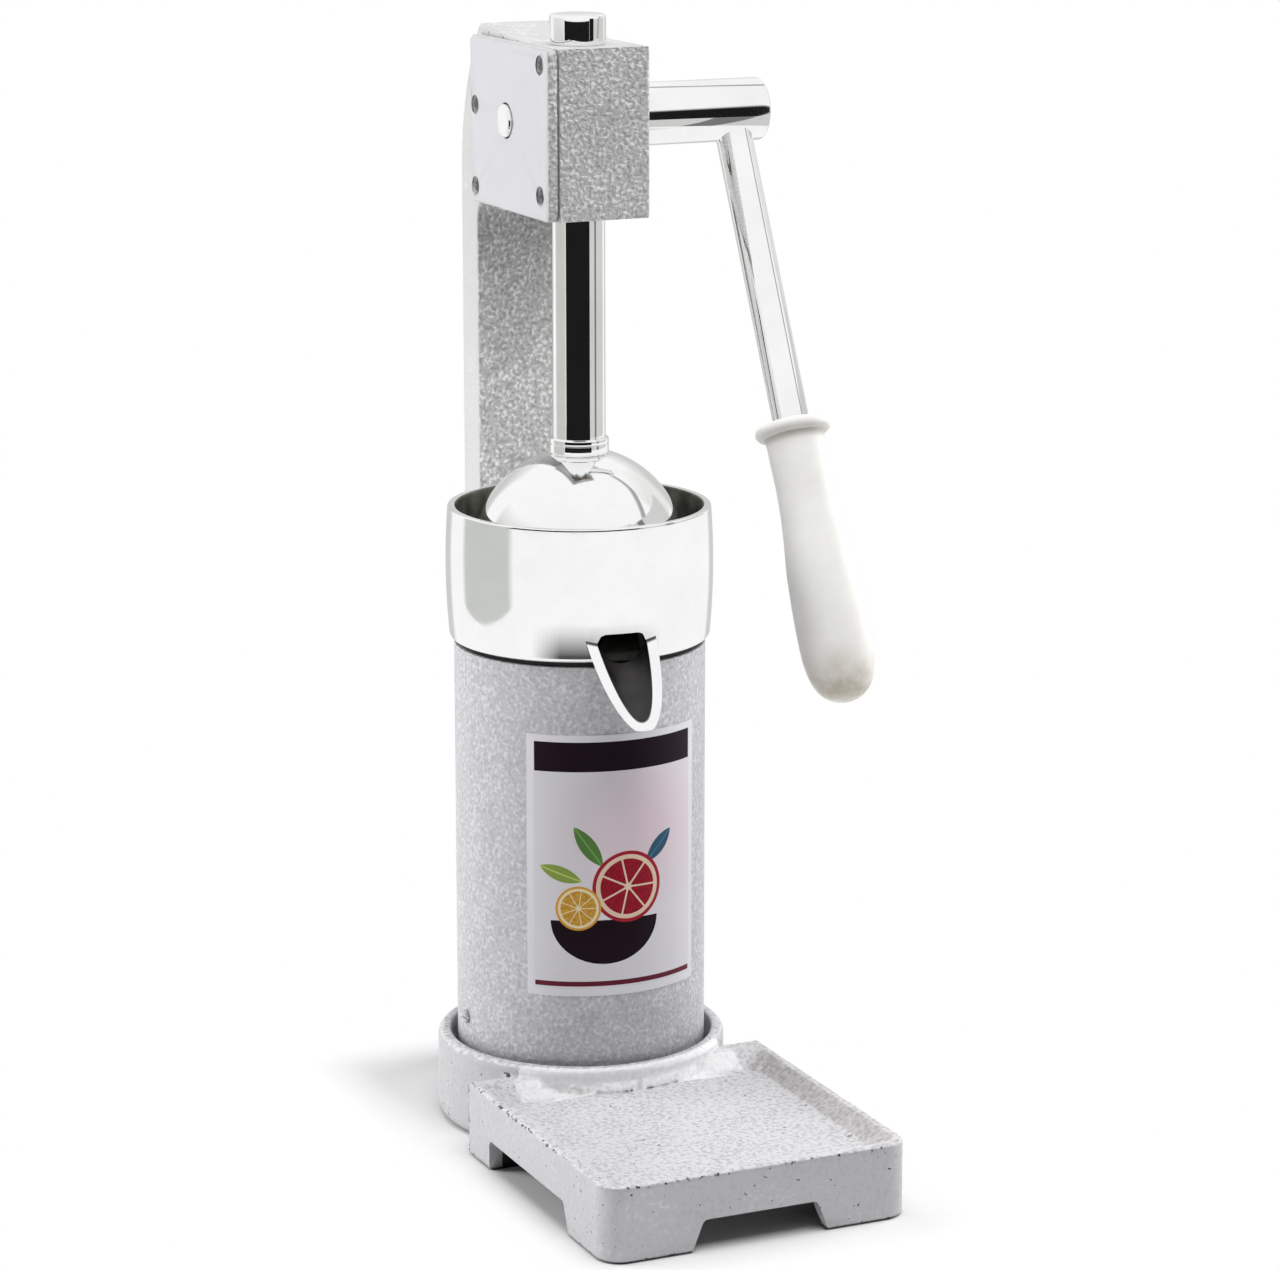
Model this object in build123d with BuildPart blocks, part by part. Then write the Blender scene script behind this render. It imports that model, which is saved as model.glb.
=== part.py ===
from build123d import *
import os
from math import acos, atan2, cos, floor, hypot, pi, radians, sin, sqrt, tan

# Manual pomegranate juicer: a cast stand with a drip tray, a cup with a pouring spout on a body tube,
# and a press dome on a rack rod that a side lever drives through a pinion in the head.
# Millimetres, +Z up, front towards -Y. The origin is on the table, under the axis of the press rod.

os.makedirs("parts", exist_ok=True)

# Fits and fasteners
running_gap = 0.03
seat_gap = 0.05
screw_gap = 0.15
hexagon_side_count = 6

# Body tube, standing in the socket of the base
tube_radius = 50.0
tube_wall = 3.0
tube_length = 182.0
tube_seat = 14.0

# Screws that hold the tube to the spigot inside it
tube_screw_height = 45.0
tube_screw_angles = (0, 90, 180)
tube_screw_radius = 2.0
tube_screw_head_radius = 2.8
tube_screw_head_height = 1.4
tube_screw_head_taper = 14.0
screw_slot_width = 1.0
screw_slot_depth = 0.8

# Base casting: round socket and skirt
socket_gap = 0.3
socket_floor = 6.0
socket_mouth = 2.4
socket_mouth_depth = 9.0
socket_lip = 0.8
skirt_wall = 7.7
skirt_height = 35.0
skirt_edge = 3.0
skirt_foot_edge = 5.0
spigot_gap = 0.2
spigot_wall = 5.8
spigot_rise = 11.0

# Base casting: drip tray
tray_width = 126.8
tray_front = 167.0
tray_back = 34.0
tray_height = 30.0
tray_corner = 10.0
tray_edge = 1.8
tray_rim = 4.0
tray_wall = 6.0
tray_plate = 6.0
recess_depth = 5.0
recess_run = 7.5
recess_back = 44.0
recess_corner = 7.0

# Base casting: arches between the feet
arch_height = 12.5
arch_draft = 2.5
arch_corner = 2.5
side_arch_back = 55.0
side_arch_length = 75.0
front_arch_width = 52.0

# Juice cup on top of the tube
cup_height = 55.0
cup_foot_overhang = 1.6
cup_foot_edge = 2.5
cup_foot_gap = 1.8
cup_foot_inset = 1.6
cup_belly_overhang = 3.0
cup_rim_overhang = 2.1
cup_belly_rise = 26.0
cup_wall = 3.1
cup_floor = 5.0
cup_rim_edge = 0.9
cup_spigot_depth = 10.0
cup_spigot_wall = 3.2
cup_spigot_gap = 0.2
ledge_rise = 16.0
ledge_width = 2.5
outlet_width = 20.0
outlet_height = 8.5
outlet_corner = 4.0
outlet_sill = 2.4

# Turn of the cup, its spout and the label about the press axis, to the left of straight ahead
cup_turn = 5.3

# Pouring spout, a slanted tube cut open along its length
spout_radius = 14.5
spout_wall = 3.8
spout_bottom = 1.2
spout_lip = 0.4
spout_reach = 25.5
spout_drop = 19.0
spout_slope = 30.0
spout_bore_slope = 35.3
spout_cut = 46.5
spout_tube_gap = 0.4

# Strainer with its ribbed cone
strainer_thickness = 1.6
strainer_gap = 0.4
strainer_band = 14.7
cone_height = 34.0
cone_nose = 8.0
cone_wall = 2.0
cone_rib_count = 8
cone_rib_width = 2.6
cone_rib_height = 3.0
strainer_hole_radius = 1.7
strainer_hole_count = 32
strainer_hole_rows = 2

# Press dome
dome_gap = 6.8
dome_wall = 3.0
dome_dip = 20.0
dome_skirt = 3.0
dome_flat = 2.0
dome_boss = 6.0
dome_boss_radius = 14.0
dome_rim_edge = 0.8

# Rod, its collar and stop cap
rod_radius = 10.5
collar_radius = 11.75
collar_height = 6.8
collar_edge = 0.8
cap_radius = 11.0
cap_height = 11.6
cap_edge = 1.2
cap_stud_radius = 5.0
cap_stud_length = 6.5

# Screw and washer under the dome
dome_screw_radius = 5.0
dome_screw_reach = 22.0
dome_screw_head_radius = 9.0
dome_screw_head_height = 6.0
dome_washer_radius = 12.0
dome_washer_thickness = 2.0

# Head of the arm casting
head_bottom = 365.4
head_height = 66.0
head_rise = 4.4
head_rise_start = 15.0
head_front_wall = 7.0
head_left_wall = 4.0
head_right_wall = 9.5
bush_wall = 2.5
head_lip = 1.6
upper_bush_length = 12.0
lower_bush_length = 14.0
right_edge = 1.3
left_edge = 1.3

# Column of the arm casting
column_gap = 9.0
column_depth = 17.0
crown_run = 20.5
crown_drop = 56.4
crown_corner = 4.0
throat_corner = 8.0

# Rear pad of the base and the column bolts
pad_margin = 5.0
pad_corner = 8.0
column_bolt_spacing = 20.0
column_bolt_radius = 4.0
column_bolt_reach = 20.0
column_bolt_head_radius = 7.2
column_bolt_head_height = 5.3
column_washer_radius = 8.0
column_washer_thickness = 1.6
column_bolt_seat = 14.0

# Rack and pinion
gear_module = 1.5
pinion_teeth = 22
pressure_angle = 20.0
rack_set_back = 5.0
mesh_gap = 0.06
backlash = 0.14
tip_clearance = 0.25
pinion_width = 18.0
chamber_gap = 1.5
lever_swing = 220.0
flank_steps = 4

# Cross shaft and its bushes
shaft_rise = 35.3
shaft_radius = 12.5
shaft_seat_radius = 9.0
shaft_end_radius = 6.5
shaft_end_proud = 1.5
shaft_end_gap = 0.6
shaft_edge = 0.8
shaft_bush_wall = 2.0
shaft_bush_flange = 2.0
shaft_bush_flange_width = 2.5
end_float = 0.2
key_width = 5.0
key_height = 5.0
key_length = 14.0
circlip_thickness = 1.2
circlip_depth = 0.5
circlip_width = 3.0
circlip_opening = 8.0

# Gear cover and its screws
cover_thickness = 4.3
cover_length = 78.0
cover_corner = 3.0
cover_edge = 0.8
cover_lip = 1.3
cover_screw_radius = 2.4
cover_screw_reach = 6.0
cover_screw_head_radius = 3.5
cover_screw_head_height = 1.7
cover_screw_sink = 3.6
cover_screw_front_inset = 8.0
cover_screw_back_inset = 5.0
cover_screw_top_inset = 6.4
cover_screw_bottom_inset = 9.6
cover_screw_back_drop = 27.4
cover_screw_back_rise = 6.4

# Lever and grip
lever_x = 75.0
shaft_overhang = 13.0
lever_angle = 26.5
lever_radius = 7.25
lever_spigot_radius = 5.0
lever_spigot_depth = 16.0
grip_start = 131.3
grip_length = 113.0
grip_flange_radius = 15.0
grip_flange_thickness = 5.0
grip_neck_radius = 11.5
grip_neck_length = 6.0
grip_middle_radius = 12.0
grip_bulge_radius = 14.5
grip_bulge_from_end = 29.0
grip_nose_radius = 11.0
grip_nose_length = 6.5
grip_bore_from_end = 16.0

# Label on the front of the tube
label_bottom = 63.0
label_height = 106.0
label_angle = 86.0
label_thickness = 0.25
label_gap = 0.1

# Radii about the press axis
tube_bore = tube_radius - tube_wall
socket_radius = tube_radius + socket_gap
skirt_radius = socket_radius + skirt_wall
spigot_radius = tube_bore - spigot_gap
spigot_bore = spigot_radius - spigot_wall
cup_foot_radius = tube_radius + cup_foot_overhang
cup_belly_radius = tube_radius + cup_belly_overhang
cup_rim_radius = tube_radius + cup_rim_overhang
cup_bore = cup_rim_radius - cup_wall
cup_seat_radius = tube_radius - cup_foot_inset
sump_radius = cup_bore - ledge_width
cone_radius = sump_radius - strainer_band
dome_radius = cup_bore - dome_gap
dome_bore = dome_radius - dome_wall
bush_radius = rod_radius + bush_wall

# Heights above the table
tube_top = tube_seat + tube_length
spigot_top = tube_screw_height + spigot_rise
barrel_foot = tube_top + cup_foot_gap
cup_rim = tube_top + cup_height
cup_floor_top = tube_top + cup_floor
strainer_seat = tube_top + ledge_rise
dome_equator = cup_rim - dome_dip
dome_top = dome_equator + dome_radius - dome_flat
dome_boss_bottom = dome_top - dome_boss
rod_bottom = dome_top + collar_height
head_top = head_bottom + head_height
crown_top = head_top + head_rise
shaft_z = head_bottom + shaft_rise

# Gear sizes
pitch = pi * gear_module
pinion_radius = gear_module * pinion_teeth / 2
pinion_tip = pinion_radius + gear_module
pinion_root = pinion_radius - gear_module - tip_clearance
pinion_base = pinion_radius * cos(radians(pressure_angle))
rack_tip = rack_set_back + gear_module
rack_root = rack_set_back - gear_module - tip_clearance
shaft_y = rack_set_back + pinion_radius + mesh_gap
chamber_radius = pinion_tip + chamber_gap
lift = radians(lever_swing) * pinion_radius

# Places along the cross shaft, from the left face of the cover to the free end
casting_left = -(bush_radius + head_left_wall)
cover_left = casting_left - cover_thickness
bush_left = cover_left + cover_lip
pinion_right = pinion_width / 2 + shaft_bush_flange / 2
pinion_left = pinion_right - pinion_width
chamber_end = pinion_right + end_float + shaft_bush_flange
casting_right = chamber_end + head_right_wall
casting_width = casting_right - casting_left
seat_left = casting_left + shaft_bush_flange + end_float
shaft_right = lever_x + shaft_overhang
right_bush_radius = shaft_radius + shaft_bush_wall
left_bush_radius = shaft_end_radius + shaft_bush_wall

# Depths behind and in front of the press axis
head_front = -(bush_radius + head_front_wall)
column_front = cup_belly_radius + column_gap
column_back = column_front + column_depth
column_middle_x = (casting_left + casting_right) / 2
column_middle_y = (column_front + column_back) / 2
column_bolt_places = [
    (column_middle_x - column_bolt_spacing / 2, column_middle_y),
    (column_middle_x + column_bolt_spacing / 2, column_middle_y),
]


def radial_plane(angle, height, radius):
    """A plane that looks outwards from the press axis, at a radius and a height."""
    out = (cos(radians(angle)), sin(radians(angle)), 0)
    across = (-sin(radians(angle)), cos(radians(angle)), 0)
    return Plane(origin=(out[0] * radius, out[1] * radius, height), x_dir=across, z_dir=out)


# Base casting: tray, round skirt with the tube's socket and spigot, and the rear pad of the column
with BuildPart() as base_casting:
    with BuildSketch() as tray_plan:
        with Locations((0, -(tray_front + tray_back) / 2)):
            Rectangle(tray_width, tray_front - tray_back)
        fillet(tray_plan.vertices().group_by(Axis.Y)[0], tray_corner)
    extrude(amount=tray_height)
    fillet(base_casting.edges().group_by(Axis.Z)[-1], tray_edge)
    fillet(base_casting.edges().group_by(Axis.Z)[0], tray_edge)

    # Shallow recess with sloping sides in the top of the tray
    recess_width = tray_width - 2 * tray_rim
    recess_front = tray_front - tray_rim
    with BuildSketch(Plane.XY.offset(tray_height)) as recess_mouth:
        with Locations((0, -(recess_front + recess_back) / 2)):
            Rectangle(recess_width, recess_front - recess_back)
        fillet(recess_mouth.vertices(), recess_corner)
    with BuildSketch(Plane.XY.offset(tray_height - recess_depth)) as recess_plan:
        with Locations((0, -(recess_front + recess_back) / 2)):
            Rectangle(recess_width - 2 * recess_run, recess_front - recess_back - 2 * recess_run)
        fillet(recess_plan.vertices(), recess_corner)
    loft(mode=Mode.SUBTRACT)

    # Hollow under the tray
    hollow_width = tray_width - 2 * tray_wall
    hollow_length = tray_front - tray_wall - side_arch_back
    with BuildSketch() as hollow_plan:
        with Locations((0, -side_arch_back - hollow_length / 2)):
            Rectangle(hollow_width, hollow_length)
        fillet(hollow_plan.vertices().group_by(Axis.Y)[0], tray_corner - tray_wall / 2)
    extrude(amount=tray_height - recess_depth - tray_plate, mode=Mode.SUBTRACT)

    # Arches that leave a foot at each corner
    with BuildSketch(Plane.YZ) as side_arch:
        with BuildLine():
            arch_back = -side_arch_back
            arch_front = arch_back - side_arch_length
            Polyline(
                (arch_back, 0),
                (arch_back, arch_height),
                (arch_front + arch_draft, arch_height),
                (arch_front - arch_draft, 0),
                close=True,
            )
        make_face()
        fillet(side_arch.vertices().group_by(Axis.Y)[-1], arch_corner)
    extrude(amount=tray_width, both=True, mode=Mode.SUBTRACT)
    with BuildSketch(Plane.XZ.offset(tray_front - 2 * tray_wall)) as front_arch:
        with BuildLine():
            arch_half = front_arch_width / 2
            Polyline(
                (-arch_half - arch_draft, 0),
                (-arch_half + arch_draft, arch_height),
                (arch_half - arch_draft, arch_height),
                (arch_half + arch_draft, 0),
                close=True,
            )
        make_face()
        fillet(front_arch.vertices().group_by(Axis.Y)[-1], arch_corner)
    extrude(amount=3 * tray_wall, mode=Mode.SUBTRACT)

    # Pad behind the skirt that carries the column
    with BuildSketch() as pad_plan:
        with Locations((column_middle_x, (column_back + pad_margin) / 2)):
            Rectangle(casting_width + 2 * pad_margin, column_back + pad_margin)
        fillet(pad_plan.vertices().group_by(Axis.Y)[-1], pad_corner)
    extrude(amount=tray_height)

    # Round skirt, then the socket that the tube stands in
    with BuildSketch(Plane.XZ):
        with BuildLine():
            skirt_foot = Polyline((0, skirt_height), (0, 0), (skirt_radius - skirt_foot_edge, 0))
            skirt_low = RadiusArc(skirt_foot @ 1, (skirt_radius, skirt_foot_edge), -skirt_foot_edge)
            skirt_side = Line(skirt_low @ 1, (skirt_radius, skirt_height - skirt_edge))
            skirt_high = RadiusArc(skirt_side @ 1, (skirt_radius - skirt_edge, skirt_height), -skirt_edge)
            Line(skirt_high @ 1, skirt_foot @ 0)
        make_face()
    revolve(axis=Axis.Z)
    with BuildSketch(Plane.XZ):
        with BuildLine():
            Polyline(
                (0, tube_seat),
                (socket_radius, tube_seat),
                (socket_radius, skirt_height - socket_mouth_depth),
                (socket_radius + socket_mouth, skirt_height - socket_mouth_depth),
                (socket_radius + socket_mouth, skirt_height - socket_lip),
                (socket_radius + socket_mouth + socket_lip, skirt_height),
                (0, skirt_height),
                close=True,
            )
        make_face()
    revolve(axis=Axis.Z, mode=Mode.SUBTRACT)
    with BuildSketch(Plane.XY.offset(socket_floor)):
        Circle(spigot_radius)
    extrude(amount=spigot_top - socket_floor)
    with BuildSketch(Plane.XY.offset(socket_floor)):
        Circle(spigot_bore)
    extrude(amount=spigot_top - socket_floor, mode=Mode.SUBTRACT)

    # Holes for the tube screws and, from below, for the column bolts
    for angle in tube_screw_angles:
        with BuildSketch(radial_plane(angle, tube_screw_height, 0)):
            Circle(tube_screw_radius + seat_gap)
        extrude(amount=tube_radius, mode=Mode.SUBTRACT)
    with BuildSketch():
        with Locations(*column_bolt_places):
            Circle(column_bolt_radius + screw_gap)
    extrude(amount=tray_height, mode=Mode.SUBTRACT)
    with BuildSketch():
        with Locations(*column_bolt_places):
            Circle(column_washer_radius + screw_gap)
    extrude(amount=column_bolt_seat, mode=Mode.SUBTRACT)

base_casting.part.label = "base_casting"
export_step(base_casting.part, "parts/base_casting.step")


# Body tube
with BuildPart() as body_tube:
    with BuildSketch(Plane.XY.offset(tube_seat)):
        Circle(tube_radius)
        Circle(tube_bore, mode=Mode.SUBTRACT)
    extrude(amount=tube_length)
    for angle in tube_screw_angles:
        with BuildSketch(radial_plane(angle, tube_screw_height, 0)):
            Circle(tube_screw_radius + screw_gap)
        extrude(amount=skirt_radius, mode=Mode.SUBTRACT)

body_tube.part.label = "body_tube"
export_step(body_tube.part, "parts/body_tube.step")


# Slotted button-head screws through the tube into the spigot
with BuildPart() as tube_screws:
    for angle in tube_screw_angles:
        with BuildSketch(radial_plane(angle, tube_screw_height, spigot_bore)):
            Circle(tube_screw_radius)
        extrude(amount=tube_radius - spigot_bore)
        with BuildSketch(radial_plane(angle, tube_screw_height, tube_radius)):
            Circle(tube_screw_head_radius)
        extrude(amount=tube_screw_head_height, taper=tube_screw_head_taper)
        with BuildSketch(radial_plane(angle, tube_screw_height, tube_radius + tube_screw_head_height)):
            Rectangle(3 * tube_screw_head_radius, screw_slot_width)
        extrude(amount=-screw_slot_depth, mode=Mode.SUBTRACT)

tube_screws.part.label = "tube_screws"
export_step(tube_screws.part, "parts/tube_screws.step")


# Printed label, a thin sheet stuck round the front of the tube
with BuildPart() as front_label:
    label_start = -90 - cup_turn - label_angle / 2
    with BuildSketch(Plane.XY.offset(label_bottom)):
        with BuildLine():
            label_radius = tube_radius + label_gap
            label_back = CenterArc((0, 0), label_radius, label_start, label_angle)
            label_face = CenterArc((0, 0), label_radius + label_thickness, label_start, label_angle)
            Line(label_back @ 0, label_face @ 0)
            Line(label_back @ 1, label_face @ 1)
        make_face()
    extrude(amount=label_height)

front_label.part.label = "front_label"
export_step(front_label.part, "parts/front_label.step")


# Arm casting: column and head in one piece, with the gear chamber open on the left
cover_screw_places = [
    (head_front + cover_screw_front_inset, head_top - cover_screw_top_inset),
    (head_front + cover_screw_front_inset, head_bottom + cover_screw_bottom_inset),
    (head_front + cover_length - cover_screw_back_inset, head_top - cover_screw_back_drop),
    (head_front + cover_length - cover_screw_back_inset, head_bottom + cover_screw_back_rise),
]
with BuildPart() as arm_casting:
    with BuildSketch(Plane.YZ.offset(casting_left)) as arm_side:
        with BuildLine():
            arm_outline = Polyline(
                (column_back, head_top - crown_drop),
                (column_back, tray_height),
                (column_front, tray_height),
                (column_front, head_bottom),
                (head_front, head_bottom),
                (head_front, head_top),
                (head_rise_start, head_top),
                (column_back - crown_run, crown_top),
            )
            TangentArc(arm_outline @ 0, arm_outline @ 1, tangent=(0, 1))
        make_face()
        fillet(arm_side.vertices().sort_by_distance((column_front, head_bottom))[0], throat_corner)
        fillet(arm_side.vertices().sort_by_distance((column_back - crown_run, crown_top))[0], crown_corner)
    extrude(amount=casting_width)
    fillet(arm_casting.faces().sort_by(Axis.X)[-1].outer_wire().edges(), right_edge)
    fillet(arm_casting.faces().sort_by(Axis.X)[0].outer_wire().edges(), left_edge)
    with BuildSketch(Plane.YZ.offset(casting_left)):
        with Locations((shaft_y, shaft_z)):
            Circle(chamber_radius)
    extrude(amount=chamber_end - casting_left, mode=Mode.SUBTRACT)
    with BuildSketch(Plane.XY.offset(head_bottom)):
        Circle(bush_radius)
    extrude(amount=head_height - head_lip, mode=Mode.SUBTRACT)
    with BuildSketch(Plane.XY.offset(head_top)):
        Circle(rod_radius + running_gap)
    extrude(amount=-2 * head_lip, mode=Mode.SUBTRACT)
    with BuildSketch(Plane.YZ.offset(chamber_end)):
        with Locations((shaft_y, shaft_z)):
            Circle(right_bush_radius)
    extrude(amount=head_right_wall, mode=Mode.SUBTRACT)
    with BuildSketch(Plane.YZ.offset(casting_left)):
        with Locations(*cover_screw_places):
            Circle(cover_screw_radius + seat_gap)
    extrude(amount=cover_screw_reach + screw_gap, mode=Mode.SUBTRACT)
    with BuildSketch(Plane.XY.offset(tray_height)):
        with Locations(*column_bolt_places):
            Circle(column_bolt_radius + seat_gap)
    extrude(amount=column_bolt_reach + screw_gap, mode=Mode.SUBTRACT)

arm_casting.part.label = "arm_casting"
export_step(arm_casting.part, "parts/arm_casting.step")


# Hexagon bolts from under the rear pad up into the column
with BuildPart() as column_bolts:
    bolt_head_top = column_bolt_seat - column_washer_thickness
    with BuildSketch(Plane.XY.offset(bolt_head_top)):
        with Locations(*column_bolt_places):
            RegularPolygon(column_bolt_head_radius, hexagon_side_count)
    extrude(amount=-column_bolt_head_height)
    with BuildSketch(Plane.XY.offset(bolt_head_top)):
        with Locations(*column_bolt_places):
            Circle(column_bolt_radius)
    extrude(amount=tray_height + column_bolt_reach - bolt_head_top)

column_bolts.part.label = "column_bolts"
export_step(column_bolts.part, "parts/column_bolts.step")


# Washers between the bolt heads and the pad
with BuildPart() as column_washers:
    with BuildSketch(Plane.XY.offset(column_bolt_seat)):
        with Locations(*column_bolt_places):
            Circle(column_washer_radius)
            Circle(column_bolt_radius + screw_gap, mode=Mode.SUBTRACT)
    extrude(amount=-column_washer_thickness)

column_washers.part.label = "column_washers"
export_step(column_washers.part, "parts/column_washers.step")


# Gear cover, a flat plate that closes the left side of the head and carries the shaft's left bush
with BuildPart() as gear_cover:
    with BuildSketch(Plane.YZ.offset(cover_left)) as cover_plan:
        with Locations((head_front + cover_length / 2, head_bottom + head_height / 2)):
            Rectangle(cover_length, head_height)
        fillet(cover_plan.vertices(), cover_corner)
    extrude(amount=cover_thickness)
    chamfer(gear_cover.faces().sort_by(Axis.X)[0].edges(), cover_edge)
    with BuildSketch(Plane.YZ.offset(cover_left)):
        with Locations((shaft_y, shaft_z)):
            Circle(shaft_end_radius + shaft_end_gap)
        with Locations(*cover_screw_places):
            Circle(cover_screw_radius + screw_gap)
    extrude(amount=cover_thickness, mode=Mode.SUBTRACT)
    with BuildSketch(Plane.YZ.offset(bush_left)):
        with Locations((shaft_y, shaft_z)):
            Circle(left_bush_radius)
    extrude(amount=casting_left - bush_left, mode=Mode.SUBTRACT)
    with BuildSketch(Plane.YZ.offset(cover_left)):
        with Locations(*cover_screw_places):
            Circle(cover_screw_head_radius + 2 * screw_gap)
    extrude(amount=cover_screw_sink, mode=Mode.SUBTRACT)

gear_cover.part.label = "gear_cover"
export_step(gear_cover.part, "parts/gear_cover.step")


# Slotted cover screws, sunk in the plate
with BuildPart() as cover_screws:
    cover_screw_seat = cover_left + cover_screw_sink
    with BuildSketch(Plane.YZ.offset(cover_screw_seat)):
        with Locations(*cover_screw_places):
            Circle(cover_screw_head_radius)
    extrude(amount=-cover_screw_head_height)
    with BuildSketch(Plane.YZ.offset(cover_screw_seat)):
        with Locations(*cover_screw_places):
            Circle(cover_screw_radius)
    extrude(amount=casting_left + cover_screw_reach - cover_screw_seat)
    with BuildSketch(Plane.YZ.offset(cover_screw_seat - cover_screw_head_height)):
        with Locations(*cover_screw_places):
            Rectangle(screw_slot_width, 3 * cover_screw_head_radius)
    extrude(amount=screw_slot_depth, mode=Mode.SUBTRACT)

cover_screws.part.label = "cover_screws"
export_step(cover_screws.part, "parts/cover_screws.step")


# Bronze bushes that guide the rod under the lip at the top and at the bottom of the head
with BuildPart() as upper_rod_bush:
    with BuildSketch(Plane.XY.offset(head_top - head_lip)):
        Circle(bush_radius)
        Circle(rod_radius + running_gap, mode=Mode.SUBTRACT)
    extrude(amount=-upper_bush_length)

upper_rod_bush.part.label = "upper_rod_bush"
export_step(upper_rod_bush.part, "parts/upper_rod_bush.step")

with BuildPart() as lower_rod_bush:
    with BuildSketch(Plane.XY.offset(head_bottom)):
        Circle(bush_radius)
        Circle(rod_radius + running_gap, mode=Mode.SUBTRACT)
    extrude(amount=lower_bush_length)

lower_rod_bush.part.label = "lower_rod_bush"
export_step(lower_rod_bush.part, "parts/lower_rod_bush.step")


# Flanged bronze bushes of the cross shaft, behind the lip of the cover and in the right wall of the head
with BuildPart() as left_shaft_bush:
    with BuildSketch(Plane.YZ.offset(bush_left)):
        with Locations((shaft_y, shaft_z)):
            Circle(left_bush_radius)
    extrude(amount=casting_left - bush_left)
    with BuildSketch(Plane.YZ.offset(casting_left)):
        with Locations((shaft_y, shaft_z)):
            Circle(left_bush_radius + shaft_bush_flange_width)
    extrude(amount=shaft_bush_flange)
    with BuildSketch(Plane.YZ.offset(bush_left)):
        with Locations((shaft_y, shaft_z)):
            Circle(shaft_end_radius + running_gap)
    extrude(amount=casting_left - bush_left + shaft_bush_flange, mode=Mode.SUBTRACT)

left_shaft_bush.part.label = "left_shaft_bush"
export_step(left_shaft_bush.part, "parts/left_shaft_bush.step")

with BuildPart() as right_shaft_bush:
    with BuildSketch(Plane.YZ.offset(chamber_end)):
        with Locations((shaft_y, shaft_z)):
            Circle(right_bush_radius)
    extrude(amount=head_right_wall)
    with BuildSketch(Plane.YZ.offset(chamber_end)):
        with Locations((shaft_y, shaft_z)):
            Circle(right_bush_radius + shaft_bush_flange_width)
    extrude(amount=-shaft_bush_flange)
    with BuildSketch(Plane.YZ.offset(chamber_end - shaft_bush_flange)):
        with Locations((shaft_y, shaft_z)):
            Circle(shaft_radius + running_gap)
    extrude(amount=head_right_wall + shaft_bush_flange, mode=Mode.SUBTRACT)

right_shaft_bush.part.label = "right_shaft_bush"
export_step(right_shaft_bush.part, "parts/right_shaft_bush.step")


# Directions straight out of the spout and across it
spout_forward = Vector(-sin(radians(cup_turn)), -cos(radians(cup_turn)), 0)
spout_across = Vector(cos(radians(cup_turn)), -sin(radians(cup_turn)), 0)

# Juice cup: barrel wall, floor with a spigot in the tube, a ledge for the strainer and the outlet
cup_spigot_radius = tube_bore - cup_spigot_gap
with BuildPart() as juice_cup:
    with BuildSketch(Plane.XZ) as cup_section:
        with BuildLine():
            barrel = ThreePointArc(
                (cup_foot_radius, barrel_foot),
                (cup_belly_radius, tube_top + cup_belly_rise),
                (cup_rim_radius, cup_rim),
            )
            Polyline(
                barrel @ 1,
                (cup_bore, cup_rim),
                (cup_bore, strainer_seat),
                (sump_radius, strainer_seat),
                (sump_radius, cup_floor_top),
                (0, cup_floor_top),
                (0, tube_top),
                (cup_spigot_radius - cup_spigot_wall, tube_top),
                (cup_spigot_radius - cup_spigot_wall, tube_top - cup_spigot_depth),
                (cup_spigot_radius, tube_top - cup_spigot_depth),
                (cup_spigot_radius, tube_top),
                (cup_seat_radius, tube_top),
                (cup_seat_radius, barrel_foot),
                barrel @ 0,
            )
        make_face()
        fillet(cup_section.vertices().group_by(Axis.Y)[-1], cup_rim_edge)
        foot_corner = cup_section.vertices().sort_by_distance((cup_foot_radius, barrel_foot))[0]
        fillet(foot_corner, cup_foot_edge)
    revolve(axis=Axis.Z)
    outlet_start = spout_forward * (sump_radius - ledge_width)
    with BuildSketch(Plane(origin=outlet_start, x_dir=spout_across, z_dir=spout_forward)) as outlet:
        with Locations((0, cup_floor_top + outlet_height / 2)):
            Rectangle(outlet_width, outlet_height)
        fillet(outlet.vertices().group_by(Axis.Y)[-1], outlet_corner)
    extrude(amount=cup_belly_radius - sump_radius + 2 * ledge_width, mode=Mode.SUBTRACT)

    # The sill of the outlet slopes down to the outside
    with BuildSketch(Plane(origin=(0, 0, 0), x_dir=spout_forward, z_dir=-spout_across)):
        with BuildLine():
            Polyline(
                (sump_radius, cup_floor_top),
                (cup_belly_radius, cup_floor_top),
                (cup_belly_radius, cup_floor_top - outlet_sill),
                close=True,
            )
        make_face()
    extrude(amount=outlet_width / 2, both=True, mode=Mode.SUBTRACT)

juice_cup.part.label = "juice_cup"
export_step(juice_cup.part, "parts/juice_cup.step")


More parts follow.
